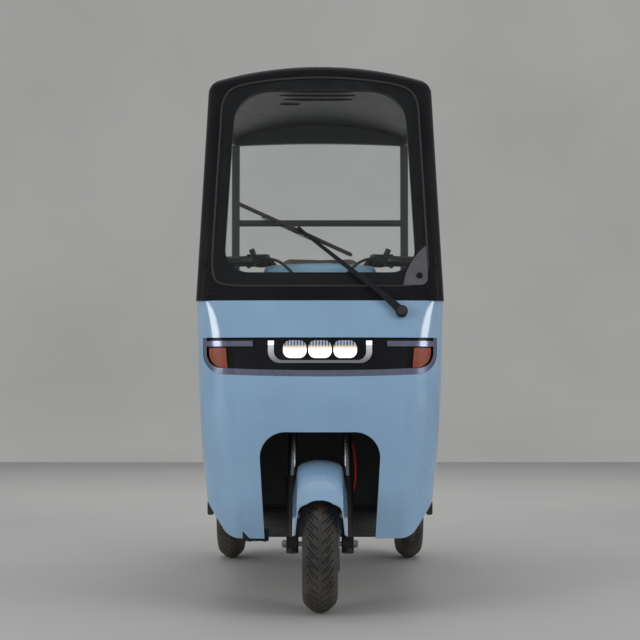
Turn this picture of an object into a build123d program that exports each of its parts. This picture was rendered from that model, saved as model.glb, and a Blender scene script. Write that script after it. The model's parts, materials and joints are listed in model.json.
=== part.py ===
# Covered electric tricycle: one steered front wheel, two driven rear wheels, an open-sided cabin
# with a windscreen and roof, a driver's seat and a rear bench.
# Millimetres. X is to the right seen from the front, the nose points to -Y, Z is up.
# The origin is on the floor under the middle of the tricycle's length and width.
from build123d import *
import math
import os

# Wheels and their places
WHEELBASE = 1350
FRONT_AXLE_Y = -730
REAR_AXLE_Y = FRONT_AXLE_Y + WHEELBASE
REAR_TRACK = 670
TYRE_RADIUS = 200
FRONT_TYRE_WIDTH = 102
REAR_TYRE_WIDTH = 98
RIM_RADIUS = 130
HUB_RADIUS = 34
FRONT_RIM_WIDTH = 76
REAR_RIM_WIDTH = 72
FRONT_HUB_HALF = 52.7
SPOKE_COUNT = 5
SPOKE_ROOT = 34
SPOKE_TIP = 22
SPOKE_THICKNESS = 26
AXLE_RADIUS = 7

# Front fork and steering
RAKE = 15
FORK_OFFSET = 20
FORK_LEG_X = 81
LOWER_LEG_RADIUS = 18
STANCHION_RADIUS = 13.5
LOWER_LEG_FOOT = -26
LOWER_LEG_TOP = 200
STANCHION_FOOT = 120
LUG_RADIUS = 23
LUG_WIDTH = 30
CROWN_AT = 385
CROWN_THICKNESS = 26
STEM_RADIUS = 14
HEAD_TUBE_RADIUS = 24
HEAD_TUBE_BOTTOM = 440
HEAD_TUBE_TOP = 600
BAR_AT = 812
BAR_KNEES = (95, 160)
BAR_BACKSET = 25
BAR_RADIUS = 11
BAR_HALF_WIDTH = 325
BAR_RISE = 70
BAR_SWEEP = 75
GRIP_LENGTH = 110
GRIP_RADIUS = 16
DISC_RADIUS = 80
DISC_THICKNESS = 4
DISC_X = 53
PAD_GAP = 3
CALIPER_X = (38, 76)
CALIPER_BACK = (22, 66)
CALIPER_W = (42, 88)
AXLE_END = 112

# Mudguard
GUARD_RADIUS = 245
GUARD_WALL = 3.5
GUARD_CROWN_HALF = 60
GUARD_SKIRT_HALF = 79
GUARD_SKIRT_RADIUS = 150
GUARD_LIP_Z = 343
GUARD_SKIRT_ANGLE = 14
GUARD_REAR_ANGLE = 156
GUARD_LIP_HALF = 58
GUARD_TIP_CUT = 26

# Handlebar fittings
PERCH_WIDTH = 26
PERCH_RADIUS = 18
BOSS_RADIUS = 9
BOSS_TOP = 40
BOSS_LEAN = 22
BOSS_INSET = 8
MIRROR_HOLE = 4
MIRROR_DEPTH = 22
BAR_COWL_HALF = 173
BAR_COWL_TOP = 1036
BAR_COWL_FRONT = -566
BAR_COWL_BACK = -436
BAR_COWL_BOTTOM = 926
BAR_COWL_WALL = 3
CABLE_RADIUS = 4.5
HOSE_RADIUS = 3.5

# Wiper
PIVOT_X = 238
PIVOT_Z = 873
KNUCKLE_REACH = (-56, 52)
WIPER_TOP_X = -62
WIPER_TOP_Z = 1121
BLADE_ENDS = ((-247, 1203), (96, 1044))
PIVOT_STAND = 15
ARM_STAND = 26
BLADE_STAND = 15

# Front cowl
COWL_BOTTOM = 219
COWL_TOP = 912
COWL_BACK = -400
COWL_WALL = 5
ARCH_BOTTOM_HALF = 160
ARCH_TOP_HALF = 179
ARCH_TOP = 529
ARCH_CORNER = 74
LAMP_TOP = 803
LAMP_BOTTOM = 690
NOSE_CUT = 600

# Windscreen frame and glass
SCREEN_LEAN = 14
SCREEN_FOOT_Y = -752
FRAME_CROWN = 1644
FRAME_SHOULDER = FRAME_CROWN - 45
FRAME_SHOULDER_HALF = 312
FRAME_SIDE_TOP_HALF = 341
FRAME_FOOT_HALF = 366
FRAME_WALL = 6
FRAME_RING = 24
FRAME_EDGE = 34
PANE_THICKNESS = 5
PANE_REBATE = 5.4
OPENING_BOTTOM = 998
OPENING_TOP = FRAME_CROWN - 75
OPENING_BOTTOM_HALF = 284
OPENING_TOP_HALF = 258
OPENING_BOTTOM_CORNER = 72
OPENING_TOP_CORNER = 115
FRAME_TOP_CORNER = 46
PILLAR_DEPTH = 150

# Roof and rear posts
ROOF_REAR_Y = 812
ROOF_RISE = 45
ROOF_THICKNESS = 12
ROOF_LIP = 34
POST_Y = 770
POST_X = 331
POST_SIZE = 30
HEADER_BOTTOM = FRAME_CROWN - 50
HEADER_ARCH = 10
HEADER_DEPTH = 26
RAIL_Z = 1290
LOW_RAIL_Z = 960
POST_FOOT_PLATE = (62, 70, 4)

# Inner front panels
LINER_HALF = 219
LINER_TOP = 624
LINER_BOTTOM = 262
LINER_BACK = -446
LINER_WALL = 4
LINER_CORNER = 60
LINER_HOLE_RADIUS = 34
SHELF_TOP = 908
SHELF_THICKNESS = 4
SHELF_HOLE_RADIUS = 44
SHIELD_HALF = (338, 357, 364)
SHIELD_WALL = 4
SHIELD_COLUMN_HALF = 95
SHIELD_COLUMN_DEPTH = 38
POCKET_X = 228
POCKET_Z = 760
POCKET_SIZE = (190, 150)
POCKET_DEPTH = 90

# Chassis, floor and rear body
RAIL_X = 150
RAIL_WIDTH = 30
CHASSIS_RAIL_TOP = 290
RAIL_HEIGHT = 40
FLOOR_THICKNESS = 8
FLOOR_HALF = 338
FOOT_REST = (560, 225, 3)
FOOT_REST_Y = -110
DECK_TOP = 600
REAR_BODY_HALF = 392
REAR_BODY_FRONT = 400
REAR_BODY_BACK = 888
REAR_BODY_BOTTOM = 262
REAR_WALL = 5
WELL_RADIUS = 236
WELL_INNER_X = 272
BUMPER_DEPTH = 35.7
AXLE_ROOM = 10

RAIL_FRONT = -436
RAIL_BACK = 895
TUBE_RADIUS = 17
DOWN_TUBE_X = 60
DOWN_TUBE_Y = -423
CROSS_PLACES = (DOWN_TUBE_Y, -150, 180, 430, 820)
CROSS_SECTION = (26, 30)
OUTRIGGER_PLACES = (-330, -60, 250)
SILL_WIDTH = 16
SILL_HEIGHT = 44
BATTERY_SIZE = (230, 240, 190)
AXLE_TUBE_RADIUS = 28
AXLE_TUBE_HALF = 258
DIFF_X = 30
DIFF_RADIUS = 68
DIFF_LENGTH = 110
MOTOR_RADIUS = 74
MOTOR_LENGTH = 105
SPRING_X = 205
SPRING_WIDTH = 44
SPRING_LEAF = 6
SPRING_HALF_SPAN = 190
SPRING_CAMBER = 24
TAIL_LAMP_X = 318
TAIL_LAMP_Z = 478
TAIL_LAMP_SIZE = (84, 116)
TAIL_LAMP_DEPTH = 16

TUB_SLOPE = 36
TUB_CORNER = 46
TUB_EDGE = 26
BUMPER_Z = 276
BUMPER_HEIGHT = 52
BUMPER_HALF = 330
BUMPER_END = 14
DRUM_RADIUS = 74
DRUM_LENGTH = 52
DRUM_HOLLOW = 20
STUB_RADIUS = 10
REAR_HUB_INNER = 268
REAR_HUB_OUTER = 372
MOTOR_BACKSET = 112
MOTOR_FINS = 7

# Seats
SEAT_BASE_HALF = 165
SEAT_BASE_FRONT = 20
SEAT_BASE_BACK = 345
SEAT_BASE_TOP = 545
CUSHION_THICKNESS = 105
DRIVER_BACK_HALF = 158
DRIVER_BACK_TOP = 1119
SEAT_BASE_WALL = 5
SEAT_DRAFT = 1.5
BRACKET_PLATE = 30
DRIVER_BACK_THICKNESS = 84
DRIVER_BACK_START = 18
DRIVER_BACK_Y = 352
BACK_RECLINE = 5
BRACKET_RADIUS = 12
BRACKET_X = 70
PEDAL_X = 120
PEDAL_Y = -300
BENCH_HALF = 330
BENCH_THICKNESS = 95
BENCH_FRONT = 446
BENCH_BACK = 735
BENCH_BACK_HALF = 300
BENCH_BACK_THICKNESS = 84
BENCH_BACK_TOP = 1030

# Clearances
SEAT_GAP = 0.3
RUNNING_GAP = 0.05

FRONT_AXLE = (0, FRONT_AXLE_Y, TYRE_RADIUS)
FLOOR_TOP = CHASSIS_RAIL_TOP + FLOOR_THICKNESS

os.makedirs("parts", exist_ok=True)


def save(shape, label):
    """Label a finished piece and write it as its own STEP file."""
    shape.label = label
    export_step(shape, f"parts/{label}.step")


# Steering axis: a local plane whose Z runs up the raked axis and whose Y points back
STEER_DIR = Vector(0, math.sin(math.radians(RAKE)), math.cos(math.radians(RAKE)))
BACK_DIR = Vector(0, math.cos(math.radians(RAKE)), -math.sin(math.radians(RAKE)))
STEER_ORIGIN = Vector(*FRONT_AXLE) + BACK_DIR * FORK_OFFSET
STEER = Plane(origin=STEER_ORIGIN, x_dir=(1, 0, 0), z_dir=STEER_DIR)


def on_axis(height, back=0.0, x=0.0):
    """A point in the main frame at a height along the steering axis, and that far behind it."""
    return STEER_ORIGIN + STEER_DIR * height + BACK_DIR * back + Vector(x, 0, 0)


# Front cowl
# Each row: height, half width, nose Y, bulge of the front face, corner radius
COWL_ROWS = [
    (COWL_BOTTOM - 4, 325, -772, 16, 100),
    (400, 343, -797, 26, 112),
    (600, 358, -810, 30, 112),
    (770, 363.5, -808, 26, 108),
    (COWL_TOP, 366, -764, 12, 62),
]


def cowl_section(half, nose, bulge, corner, back):
    """Plan outline of the cowl: a bowed nose, two round corners and straight sides."""
    side = half - corner
    face = nose + bulge
    turn = corner * (1 - math.sqrt(0.5))
    with BuildSketch(Plane.XY) as section:
        with BuildLine():
            ThreePointArc((-side, face), (0, nose), (side, face))
            ThreePointArc((side, face), (half - turn, face + turn), (half, face + corner))
            Line((half, face + corner), (half, back))
            Line((half, back), (-half, back))
            Line((-half, back), (-half, face + corner))
            ThreePointArc((-half, face + corner), (-half + turn, face + turn), (-side, face))
        make_face()
    return section.sketch


def cowl_solid(inset, back):
    """The cowl's outer form, or a layer of it when inset."""
    lift = 3 if inset else 0
    last = len(COWL_ROWS) - 1
    with BuildPart() as form:
        for i, (height, half, nose, bulge, corner) in enumerate(COWL_ROWS):
            shift = -lift if i == 0 else lift if i == last else 0
            with BuildSketch(Plane.XY.offset(height + shift)):
                add(cowl_section(half - inset, nose + inset, bulge, corner - inset, back))
        loft()
    return form.part


with BuildSketch(Plane.XZ) as cowl_front_view:
    with BuildLine():
        Polyline(
            (-264, COWL_BOTTOM), (264, COWL_BOTTOM), (332, 320), (400, 500), (400, COWL_TOP),
            (-400, COWL_TOP), (-400, 500), (-332, 320), close=True,
        )
    make_face()
    low = cowl_front_view.vertices().group_by(Axis.Y)[0]
    fillet(low, 60)
    waist = cowl_front_view.vertices().filter_by(lambda v: abs(abs(v.X) - 332) < 1)
    fillet(waist, 80)

with BuildSketch(Plane.XZ) as arch_outline:
    with BuildLine():
        Polyline(
            (-ARCH_BOTTOM_HALF, COWL_BOTTOM - 20), (ARCH_BOTTOM_HALF, COWL_BOTTOM - 20),
            (ARCH_TOP_HALF, ARCH_TOP), (-ARCH_TOP_HALF, ARCH_TOP), close=True,
        )
    make_face()
    fillet(arch_outline.vertices().group_by(Axis.Y)[-1], ARCH_CORNER)

# The lamp strip in front view
LAMP_HALF = 343
LAMP_DEPTH = 8
FLANGE_WIDTH = 8
LAMP_SAG = 9
BAND = 18
BAR_ROWS = (777.5, 793.5)
BAR_INNER = 195
LENS_PITCH = 73
LENS_SIZE = (68, 51)
LENS_Z = 769
GUIDE_OUTER = 151
GUIDE_WIDTH = 17
GUIDE_BASE = 8
GUIDE_CORNER = 34
GUIDE_ROWS = (729, 793.5)
BAND_SIDE = 11


def lamp_outline(inset, side_inset=None):
    """Front view of the lamp strip: a straight top, round lower corners and a slightly bowed foot."""
    half = LAMP_HALF - (inset if side_inset is None else side_inset)
    foot = LAMP_BOTTOM + inset
    top = LAMP_TOP - min(inset, 2)
    with BuildSketch() as outline:
        with BuildLine():
            Polyline((-half, foot + LAMP_SAG), (-half, top), (half, top), (half, foot + LAMP_SAG))
            ThreePointArc((half, foot + LAMP_SAG), (0, foot), (-half, foot + LAMP_SAG))
        make_face()
        fillet(outline.vertices().group_by(Axis.Y)[0], 62 - inset)
    return outline.sketch


def on_nose(outline, outer_inset, inner_inset):
    """The part of a layer under the cowl's surface that an outline covers in front view."""
    with BuildPart() as piece:
        with BuildSketch(Plane.XZ.offset(NOSE_CUT)):
            add(outline)
        extrude(amount=400)
        add(cowl_solid(outer_inset, COWL_BACK), mode=Mode.INTERSECT)
        add(cowl_solid(inner_inset, COWL_BACK + 20), mode=Mode.SUBTRACT)
    return piece.part


with BuildPart() as front_cowl:
    add(cowl_solid(0, COWL_BACK))
    add(cowl_solid(COWL_WALL, COWL_BACK + 20), mode=Mode.SUBTRACT)
    extrude(cowl_front_view.sketch, amount=1000, mode=Mode.INTERSECT)
    for outline in (arch_outline.sketch_local, lamp_outline(0)):
        with BuildSketch(Plane.XZ.offset(NOSE_CUT)):
            add(outline)
        extrude(amount=400, mode=Mode.SUBTRACT)
save(front_cowl.part, "front_cowl")

# Lamp strip: a sunk black panel that carries the light guides, three lenses and two indicators
with BuildSketch() as housing_flange:
    add(lamp_outline(-FLANGE_WIDTH))
    add(lamp_outline(SEAT_GAP), mode=Mode.SUBTRACT)
with BuildPart() as lamp_housing:
    add(on_nose(lamp_outline(-FLANGE_WIDTH), LAMP_DEPTH, 2 * LAMP_DEPTH + 1))
    add(on_nose(housing_flange.sketch, COWL_WALL + SEAT_GAP, LAMP_DEPTH + 0.5))
save(lamp_housing.part, "lamp_housing")

with BuildSketch() as band_outline:
    add(lamp_outline(SEAT_GAP))
    with BuildSketch(mode=Mode.PRIVATE) as inside:
        add(lamp_outline(BAND, BAND_SIDE))
        with Locations((0, LAMP_TOP)):
            Rectangle(2 * (LAMP_HALF - BAND_SIDE), 2 * BAND)
    add(inside.sketch, mode=Mode.SUBTRACT)
    for side in (-1, 1):
        with Locations((side * (BAR_INNER + LAMP_HALF - BAND_SIDE + 4) / 2, sum(BAR_ROWS) / 2)):
            Rectangle(LAMP_HALF - BAND_SIDE + 4 - BAR_INNER, BAR_ROWS[1] - BAR_ROWS[0])

with BuildSketch() as guide_outline:
    guide_foot, guide_top = GUIDE_ROWS
    guide_inner = GUIDE_OUTER - GUIDE_WIDTH
    guide_rise = guide_top - guide_foot
    with Locations((0, guide_top)):
        RectangleRounded(2 * GUIDE_OUTER, 2 * guide_rise, GUIDE_CORNER)
        RectangleRounded(2 * guide_inner, 2 * (guide_rise - GUIDE_BASE), GUIDE_CORNER - GUIDE_BASE, mode=Mode.SUBTRACT)
    with Locations((0, guide_top + guide_rise)):
        Rectangle(2 * GUIDE_OUTER, 2 * guide_rise, mode=Mode.SUBTRACT)

with BuildPart() as light_guides:
    add(on_nose(band_outline.sketch, 1, LAMP_DEPTH))
    add(on_nose(guide_outline.sketch, 3, LAMP_DEPTH))
save(light_guides.part, "light_guides")

with BuildSketch() as lens_outline:
    with GridLocations(LENS_PITCH, 0, 3, 1):
        with Locations((0, LENS_Z)):
            RectangleRounded(*LENS_SIZE, 21)
with BuildPart() as headlamp_lenses:
    add(on_nose(lens_outline.sketch, 1, LAMP_DEPTH))
save(headlamp_lenses.part, "headlamp_lenses")

with BuildSketch() as indicator_outline:
    add(lamp_outline(BAND + 1))
    with Locations((0, LAMP_TOP)):
        Rectangle(2 * LAMP_HALF, 2 * (LAMP_TOP - 773), mode=Mode.SUBTRACT)
    with BuildLine(mode=Mode.PRIVATE) as inner_edges:
        Polyline((-278, 820), (278, 820), (266, 680), (-266, 680), close=True)
    make_face(inner_edges.edges(), mode=Mode.SUBTRACT)
with BuildPart() as indicators:
    add(on_nose(indicator_outline.sketch, 2, LAMP_DEPTH))
save(indicators.part, "indicators")

# Windscreen frame: a leaning ring with wrapped sides, made as a hood that is hollowed and pierced
LEAN = math.radians(SCREEN_LEAN)
FRAME_FOOT = COWL_TOP + SEAT_GAP
CROWN_RADIUS = (FRAME_SHOULDER_HALF**2 + (FRAME_CROWN - FRAME_SHOULDER) ** 2) / (
    2 * (FRAME_CROWN - FRAME_SHOULDER)
)


def crown_height(x):
    """Height of the arched top of the cabin at a place across it."""
    return FRAME_CROWN - CROWN_RADIUS + math.sqrt(CROWN_RADIUS**2 - x**2)


def screen_plane(depth=0.0):
    """The windscreen's leaning plane, moved back by a depth along its normal."""
    normal = Vector(0, -math.cos(LEAN), math.sin(LEAN))
    origin = Vector(0, SCREEN_FOOT_Y, FRAME_FOOT) - normal * depth
    return Plane(origin=origin, x_dir=(1, 0, 0), z_dir=normal)


def up_screen(z):
    """Distance up the leaning plane of a height above the floor."""
    return (z - FRAME_FOOT) / math.cos(LEAN)


def hood(inset, depth, corner):
    """The cabin front as a solid: an arched front view extruded back, with a leaning round-edged face."""
    top_half = FRAME_SIDE_TOP_HALF - inset
    foot_half = FRAME_FOOT_HALF - inset
    foot = FRAME_FOOT - (2 if inset else 0)
    shoulder = crown_height(top_half) - inset
    with BuildPart() as form:
        with BuildSketch(Plane.XZ.offset(200)) as front_view:
            with BuildLine():
                Polyline((-top_half, shoulder), (-foot_half, foot), (foot_half, foot), (top_half, shoulder))
                ThreePointArc((top_half, shoulder), (0, FRAME_CROWN - inset), (-top_half, shoulder))
            make_face()
            fillet(front_view.vertices().group_by(Axis.Y)[-1], FRAME_TOP_CORNER - inset)
        extrude(amount=800)
        face_plane = screen_plane(depth)
        split(bisect_by=face_plane, keep=Keep.BOTTOM)
        face = form.faces().filter_by(lambda f: abs(f.normal_at().dot(face_plane.z_dir)) > 0.999).sort_by(Axis.Y)[0]
        foot_edge = face.edges().sort_by(Axis.Z)[0]
        fillet([e for e in face.edges() if e.center().Z > foot_edge.center().Z + 5], corner)
    return form.part


def screen_outline(low, high, low_half, high_half, low_corner, high_corner, arch):
    """A window outline on the leaning plane: straight sides, an arched top and four round corners."""
    foot = up_screen(low)
    head = up_screen(high)
    with BuildSketch() as outline:
        with BuildLine():
            Polyline((-high_half, head - arch), (-low_half, foot), (low_half, foot), (high_half, head - arch))
            ThreePointArc((high_half, head - arch), (0, head), (-high_half, head - arch))
        make_face()
        fillet(outline.vertices().group_by(Axis.Y)[0], low_corner)
        fillet(outline.vertices().group_by(Axis.Y)[-1], high_corner)
    return outline.sketch


PANE = (956, FRAME_CROWN - 41, 322, 296, 34, 60, 38)
PANE_HOLE = tuple(v + d for v, d in zip(PANE, (-SEAT_GAP, SEAT_GAP, SEAT_GAP, SEAT_GAP, 0, 0, 0)))
OPENING = (
    OPENING_BOTTOM, OPENING_TOP, OPENING_BOTTOM_HALF, OPENING_TOP_HALF,
    OPENING_BOTTOM_CORNER, OPENING_TOP_CORNER, 8,
)

with BuildPart() as windscreen_frame:
    add(hood(0, 0, FRAME_EDGE))
    add(hood(FRAME_WALL, FRAME_RING, FRAME_EDGE - FRAME_WALL), mode=Mode.SUBTRACT)
    split(bisect_by=screen_plane(PILLAR_DEPTH), keep=Keep.TOP)
    with BuildSketch(screen_plane(PANE_REBATE)):
        add(screen_outline(*PANE_HOLE))
    extrude(amount=60, mode=Mode.SUBTRACT)
    with BuildSketch(screen_plane(FRAME_RING + 40)):
        add(screen_outline(*OPENING))
    extrude(amount=100, mode=Mode.SUBTRACT)
save(windscreen_frame.part, "windscreen_frame")

with BuildPart() as windscreen_glass:
    with BuildSketch(screen_plane(PANE_REBATE)):
        add(screen_outline(*PANE))
    extrude(amount=PANE_THICKNESS)
save(windscreen_glass.part, "windscreen_glass")

# Fin-shaped cover plate over the lower corner of the glass
with BuildPart() as corner_plate:
    with BuildSketch(screen_plane(-SEAT_GAP)) as fin:
        with BuildLine():
            Polyline((245, up_screen(958)), (318, up_screen(958)), (314, up_screen(1076)))
            ThreePointArc((314, up_screen(1076)), (268, up_screen(1024)), (245, up_screen(958)))
        make_face()
        fillet(fin.vertices().sort_by(lambda v: v.X - v.Y)[-1], 22)
    extrude(amount=3)
save(corner_plate.part, "corner_plate")

# Roof: an arched panel with rolled side lips, rising a little to the rear
ROOF_HALF = FRAME_SIDE_TOP_HALF + 2
ROOF_START_Y = -480
ROOF_LENGTH = ROOF_REAR_Y - ROOF_START_Y


def roof_section(inset, drop=0.0):
    """Cross-section of the roof's outer form, or of its hollow when inset."""
    half = ROOF_HALF - inset
    eave = crown_height(ROOF_HALF)
    with BuildSketch() as section:
        with BuildLine():
            low = eave - ROOF_LIP - drop
            Polyline((-half, eave - inset), (-half, low), (half, low), (half, eave - inset))
            ThreePointArc((half, eave - inset), (0, FRAME_CROWN - inset), (-half, eave - inset))
        make_face()
        fillet(section.vertices().group_by(Axis.Y)[-1], FRAME_TOP_CORNER - inset)
    return section.sketch


def roof_form(inset, drop=0.0):
    """The roof's outer form, or its hollow, run back along its slope."""
    with BuildPart() as form:
        with BuildSketch(Plane.XZ.offset(-ROOF_START_Y)):
            add(roof_section(inset, drop))
        extrude(amount=math.hypot(ROOF_LENGTH, ROOF_RISE), dir=(0, ROOF_LENGTH, ROOF_RISE))
    return form.part


with BuildPart() as roof_panel:
    add(roof_form(0))
    add(roof_form(ROOF_THICKNESS, 60), mode=Mode.SUBTRACT)
    split(bisect_by=screen_plane(PILLAR_DEPTH + SEAT_GAP), keep=Keep.BOTTOM)
save(roof_panel.part, "roof_panel")

# Rear posts with foot plates, and the header, rail and low rail between them
POST_HALF = POST_SIZE / 2
POST_INNER = POST_X - POST_HALF
with BuildPart() as rear_posts:
    with BuildSketch(Plane.XY.offset(DECK_TOP + SEAT_GAP)):
        with Locations((-POST_X, POST_Y), (POST_X, POST_Y)):
            RectangleRounded(POST_FOOT_PLATE[0], POST_FOOT_PLATE[1], 8)
    extrude(amount=POST_FOOT_PLATE[2])
    with BuildSketch(Plane.XY.offset(DECK_TOP + SEAT_GAP + POST_FOOT_PLATE[2])):
        with Locations((-POST_X, POST_Y), (POST_X, POST_Y)):
            RectangleRounded(POST_SIZE, POST_SIZE, 5)
    extrude(amount=HEADER_BOTTOM - DECK_TOP - SEAT_GAP - POST_FOOT_PLATE[2])
save(rear_posts.part, "rear_posts")

with BuildPart() as rear_crossbars:
    for height in (RAIL_Z, LOW_RAIL_Z):
        with BuildSketch(Plane.YZ.offset(-POST_INNER)):
            with Locations((POST_Y, height)):
                Circle(POST_HALF - 2)
        extrude(amount=2 * POST_INNER)
    with BuildPart(mode=Mode.PRIVATE) as header:
        with BuildSketch(Plane.XZ.offset(-POST_Y + HEADER_DEPTH / 2)):
            with BuildLine():
                Polyline((-ROOF_HALF, HEADER_BOTTOM), (-ROOF_HALF, 1800), (ROOF_HALF, 1800), (ROOF_HALF, HEADER_BOTTOM))
                ThreePointArc(
                    (ROOF_HALF, HEADER_BOTTOM), (0, HEADER_BOTTOM + HEADER_ARCH), (-ROOF_HALF, HEADER_BOTTOM),
                )
            make_face()
        extrude(amount=-HEADER_DEPTH)
        add(roof_form(ROOF_THICKNESS + SEAT_GAP, 60), mode=Mode.INTERSECT)
    add(header.part)
save(rear_crossbars.part, "rear_crossbars")

# Wheel arch liner: a channel behind the cowl's arch, closed at the back, with a hole for the steering head
with BuildPart() as wheel_arch_liner:
    for inset, back in ((0, LINER_BACK), (LINER_WALL, LINER_BACK - LINER_WALL)):
        half = LINER_HALF - inset
        with BuildSketch(Plane.XZ.offset(-back)) as channel:
            with Locations((0, (LINER_BOTTOM + LINER_TOP - inset) / 2 - inset)):
                Rectangle(2 * half, LINER_TOP - LINER_BOTTOM + inset)
            fillet(channel.vertices().group_by(Axis.Y)[-1], LINER_CORNER - inset)
        extrude(amount=500, mode=Mode.SUBTRACT if inset else Mode.ADD)
    add(cowl_solid(COWL_WALL + SEAT_GAP, 0), mode=Mode.INTERSECT)
    with BuildSketch(STEER.offset(HEAD_TUBE_BOTTOM - 60)):
        Circle(LINER_HOLE_RADIUS)
    extrude(amount=120, mode=Mode.SUBTRACT)
save(wheel_arch_liner.part, "wheel_arch_liner")

# Dash shelf: closes the top of the cowl behind the windscreen, with a hole for the steering stem
with BuildPart() as dash_shelf:
    add(cowl_solid(COWL_WALL + SEAT_GAP, COWL_BACK))
    with BuildSketch(Plane.XY.offset(SHELF_TOP - SHELF_THICKNESS)):
        Rectangle(900, 900, align=(Align.CENTER, Align.MAX))
    extrude(amount=SHELF_THICKNESS, mode=Mode.INTERSECT)
    with Locations(on_axis((SHELF_TOP - STEER_ORIGIN.Z) / STEER_DIR.Z)):
        Cylinder(SHELF_HOLE_RADIUS, 60, mode=Mode.SUBTRACT)
save(dash_shelf.part, "dash_shelf")

# Leg shield: a ribbed panel behind the cowl with a raised cover over the steering head's tubes
with BuildPart() as leg_shield:
    with BuildSketch(Plane.XZ.offset(-COWL_BACK - SEAT_GAP)) as shield_outline:
        with BuildLine():
            Polyline(
                (-SHIELD_HALF[0], FLOOR_TOP + SEAT_GAP), (SHIELD_HALF[0], FLOOR_TOP + SEAT_GAP),
                (SHIELD_HALF[1], 600), (SHIELD_HALF[2], COWL_TOP - 2), (-SHIELD_HALF[2], COWL_TOP - 2),
                (-SHIELD_HALF[1], 600), close=True,
            )
        make_face()
    extrude(amount=-SHIELD_WALL)
    with BuildSketch(Plane.XZ.offset(-COWL_BACK - SEAT_GAP - SHIELD_WALL)) as column_outline:
        with Locations((0, (FLOOR_TOP + 120 + COWL_TOP - 60) / 2)):
            RectangleRounded(2 * SHIELD_COLUMN_HALF, COWL_TOP - 60 - FLOOR_TOP - 120, 40)
    extrude(amount=-SHIELD_COLUMN_DEPTH, taper=20)
    for side in (-1, 1):
        with BuildSketch(Plane.XZ.offset(-COWL_BACK - SEAT_GAP + 10)):
            with Locations((side * POCKET_X, POCKET_Z)):
                RectangleRounded(POCKET_SIZE[0] - 6, POCKET_SIZE[1] - 6, 19)
        extrude(amount=-40, mode=Mode.SUBTRACT)
        with BuildSketch(Plane.XZ.offset(-COWL_BACK - SEAT_GAP)):
            with Locations((side * POCKET_X, POCKET_Z)):
                RectangleRounded(*POCKET_SIZE, 22)
                RectangleRounded(POCKET_SIZE[0] - 6, POCKET_SIZE[1] - 6, 19, mode=Mode.SUBTRACT)
        extrude(amount=POCKET_DEPTH)
        with BuildSketch(Plane.XZ.offset(-COWL_BACK - SEAT_GAP + POCKET_DEPTH)):
            with Locations((side * POCKET_X, POCKET_Z)):
                RectangleRounded(*POCKET_SIZE, 22)
        extrude(amount=3)
save(leg_shield.part, "leg_shield")

# Chassis: two box rails, crossmembers with outriggers, and the steering head on its down tubes
RAIL_BOTTOM = CHASSIS_RAIL_TOP - RAIL_HEIGHT
with BuildPart() as frame_rails:
    with BuildSketch(Plane.XZ.offset(-RAIL_BACK)):
        with Locations((-RAIL_X, CHASSIS_RAIL_TOP - RAIL_HEIGHT / 2), (RAIL_X, CHASSIS_RAIL_TOP - RAIL_HEIGHT / 2)):
            RectangleRounded(RAIL_WIDTH, RAIL_HEIGHT, 4)
            RectangleRounded(RAIL_WIDTH - 6, RAIL_HEIGHT - 6, 2, mode=Mode.SUBTRACT)
    extrude(amount=RAIL_BACK - RAIL_FRONT)
save(frame_rails.part, "frame_rails")

CROSS_TOP = CHASSIS_RAIL_TOP - SEAT_GAP
with BuildPart() as frame_crossmembers:
    cross_half = RAIL_X - RAIL_WIDTH / 2 - SEAT_GAP
    for place in CROSS_PLACES:
        with BuildSketch(Plane.YZ.offset(-cross_half)):
            with Locations((place, CROSS_TOP - CROSS_SECTION[1] / 2)):
                RectangleRounded(*CROSS_SECTION, 3)
        extrude(amount=2 * cross_half)
    out_start = RAIL_X + RAIL_WIDTH / 2 + SEAT_GAP
    for side in (-1, 1):
        for place in OUTRIGGER_PLACES:
            with BuildSketch(Plane.YZ.offset(side * out_start)):
                with BuildLine():
                    Polyline(
                        (place - 12, CROSS_TOP), (place + 12, CROSS_TOP), (place + 12, CROSS_TOP - 24),
                        (place + 9, CROSS_TOP - 24), (place + 9, CROSS_TOP - 3), (place - 12, CROSS_TOP - 3),
                        close=True,
                    )
                make_face()
            extrude(amount=side * (FLOOR_HALF - 8 - out_start))
save(frame_crossmembers.part, "frame_crossmembers")

HEAD_JOIN = HEAD_TUBE_BOTTOM + 0.6 * (HEAD_TUBE_TOP - HEAD_TUBE_BOTTOM)
with BuildPart() as steering_head:
    with BuildSketch(STEER.offset(HEAD_TUBE_BOTTOM)):
        Circle(HEAD_TUBE_RADIUS)
    extrude(amount=HEAD_TUBE_TOP - HEAD_TUBE_BOTTOM)
    for side in (-1, 1):
        start = on_axis(HEAD_JOIN, 6, side * 8)
        knee = Vector(side * DOWN_TUBE_X, DOWN_TUBE_Y, start.Z - 24)
        foot = Vector(side * DOWN_TUBE_X, DOWN_TUBE_Y, CHASSIS_RAIL_TOP)
        with BuildLine() as run:
            FilletPolyline(start, knee, foot, radius=58)
        with BuildSketch(Plane(origin=start, z_dir=knee - start)):
            Circle(TUBE_RADIUS)
        sweep(path=run.wires()[0])
    with BuildSketch(STEER.offset(HEAD_TUBE_BOTTOM - 40)):
        Circle(STEM_RADIUS + SEAT_GAP)
    extrude(amount=HEAD_TUBE_TOP - HEAD_TUBE_BOTTOM + 80, mode=Mode.SUBTRACT)
save(steering_head.part, "steering_head")

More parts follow.
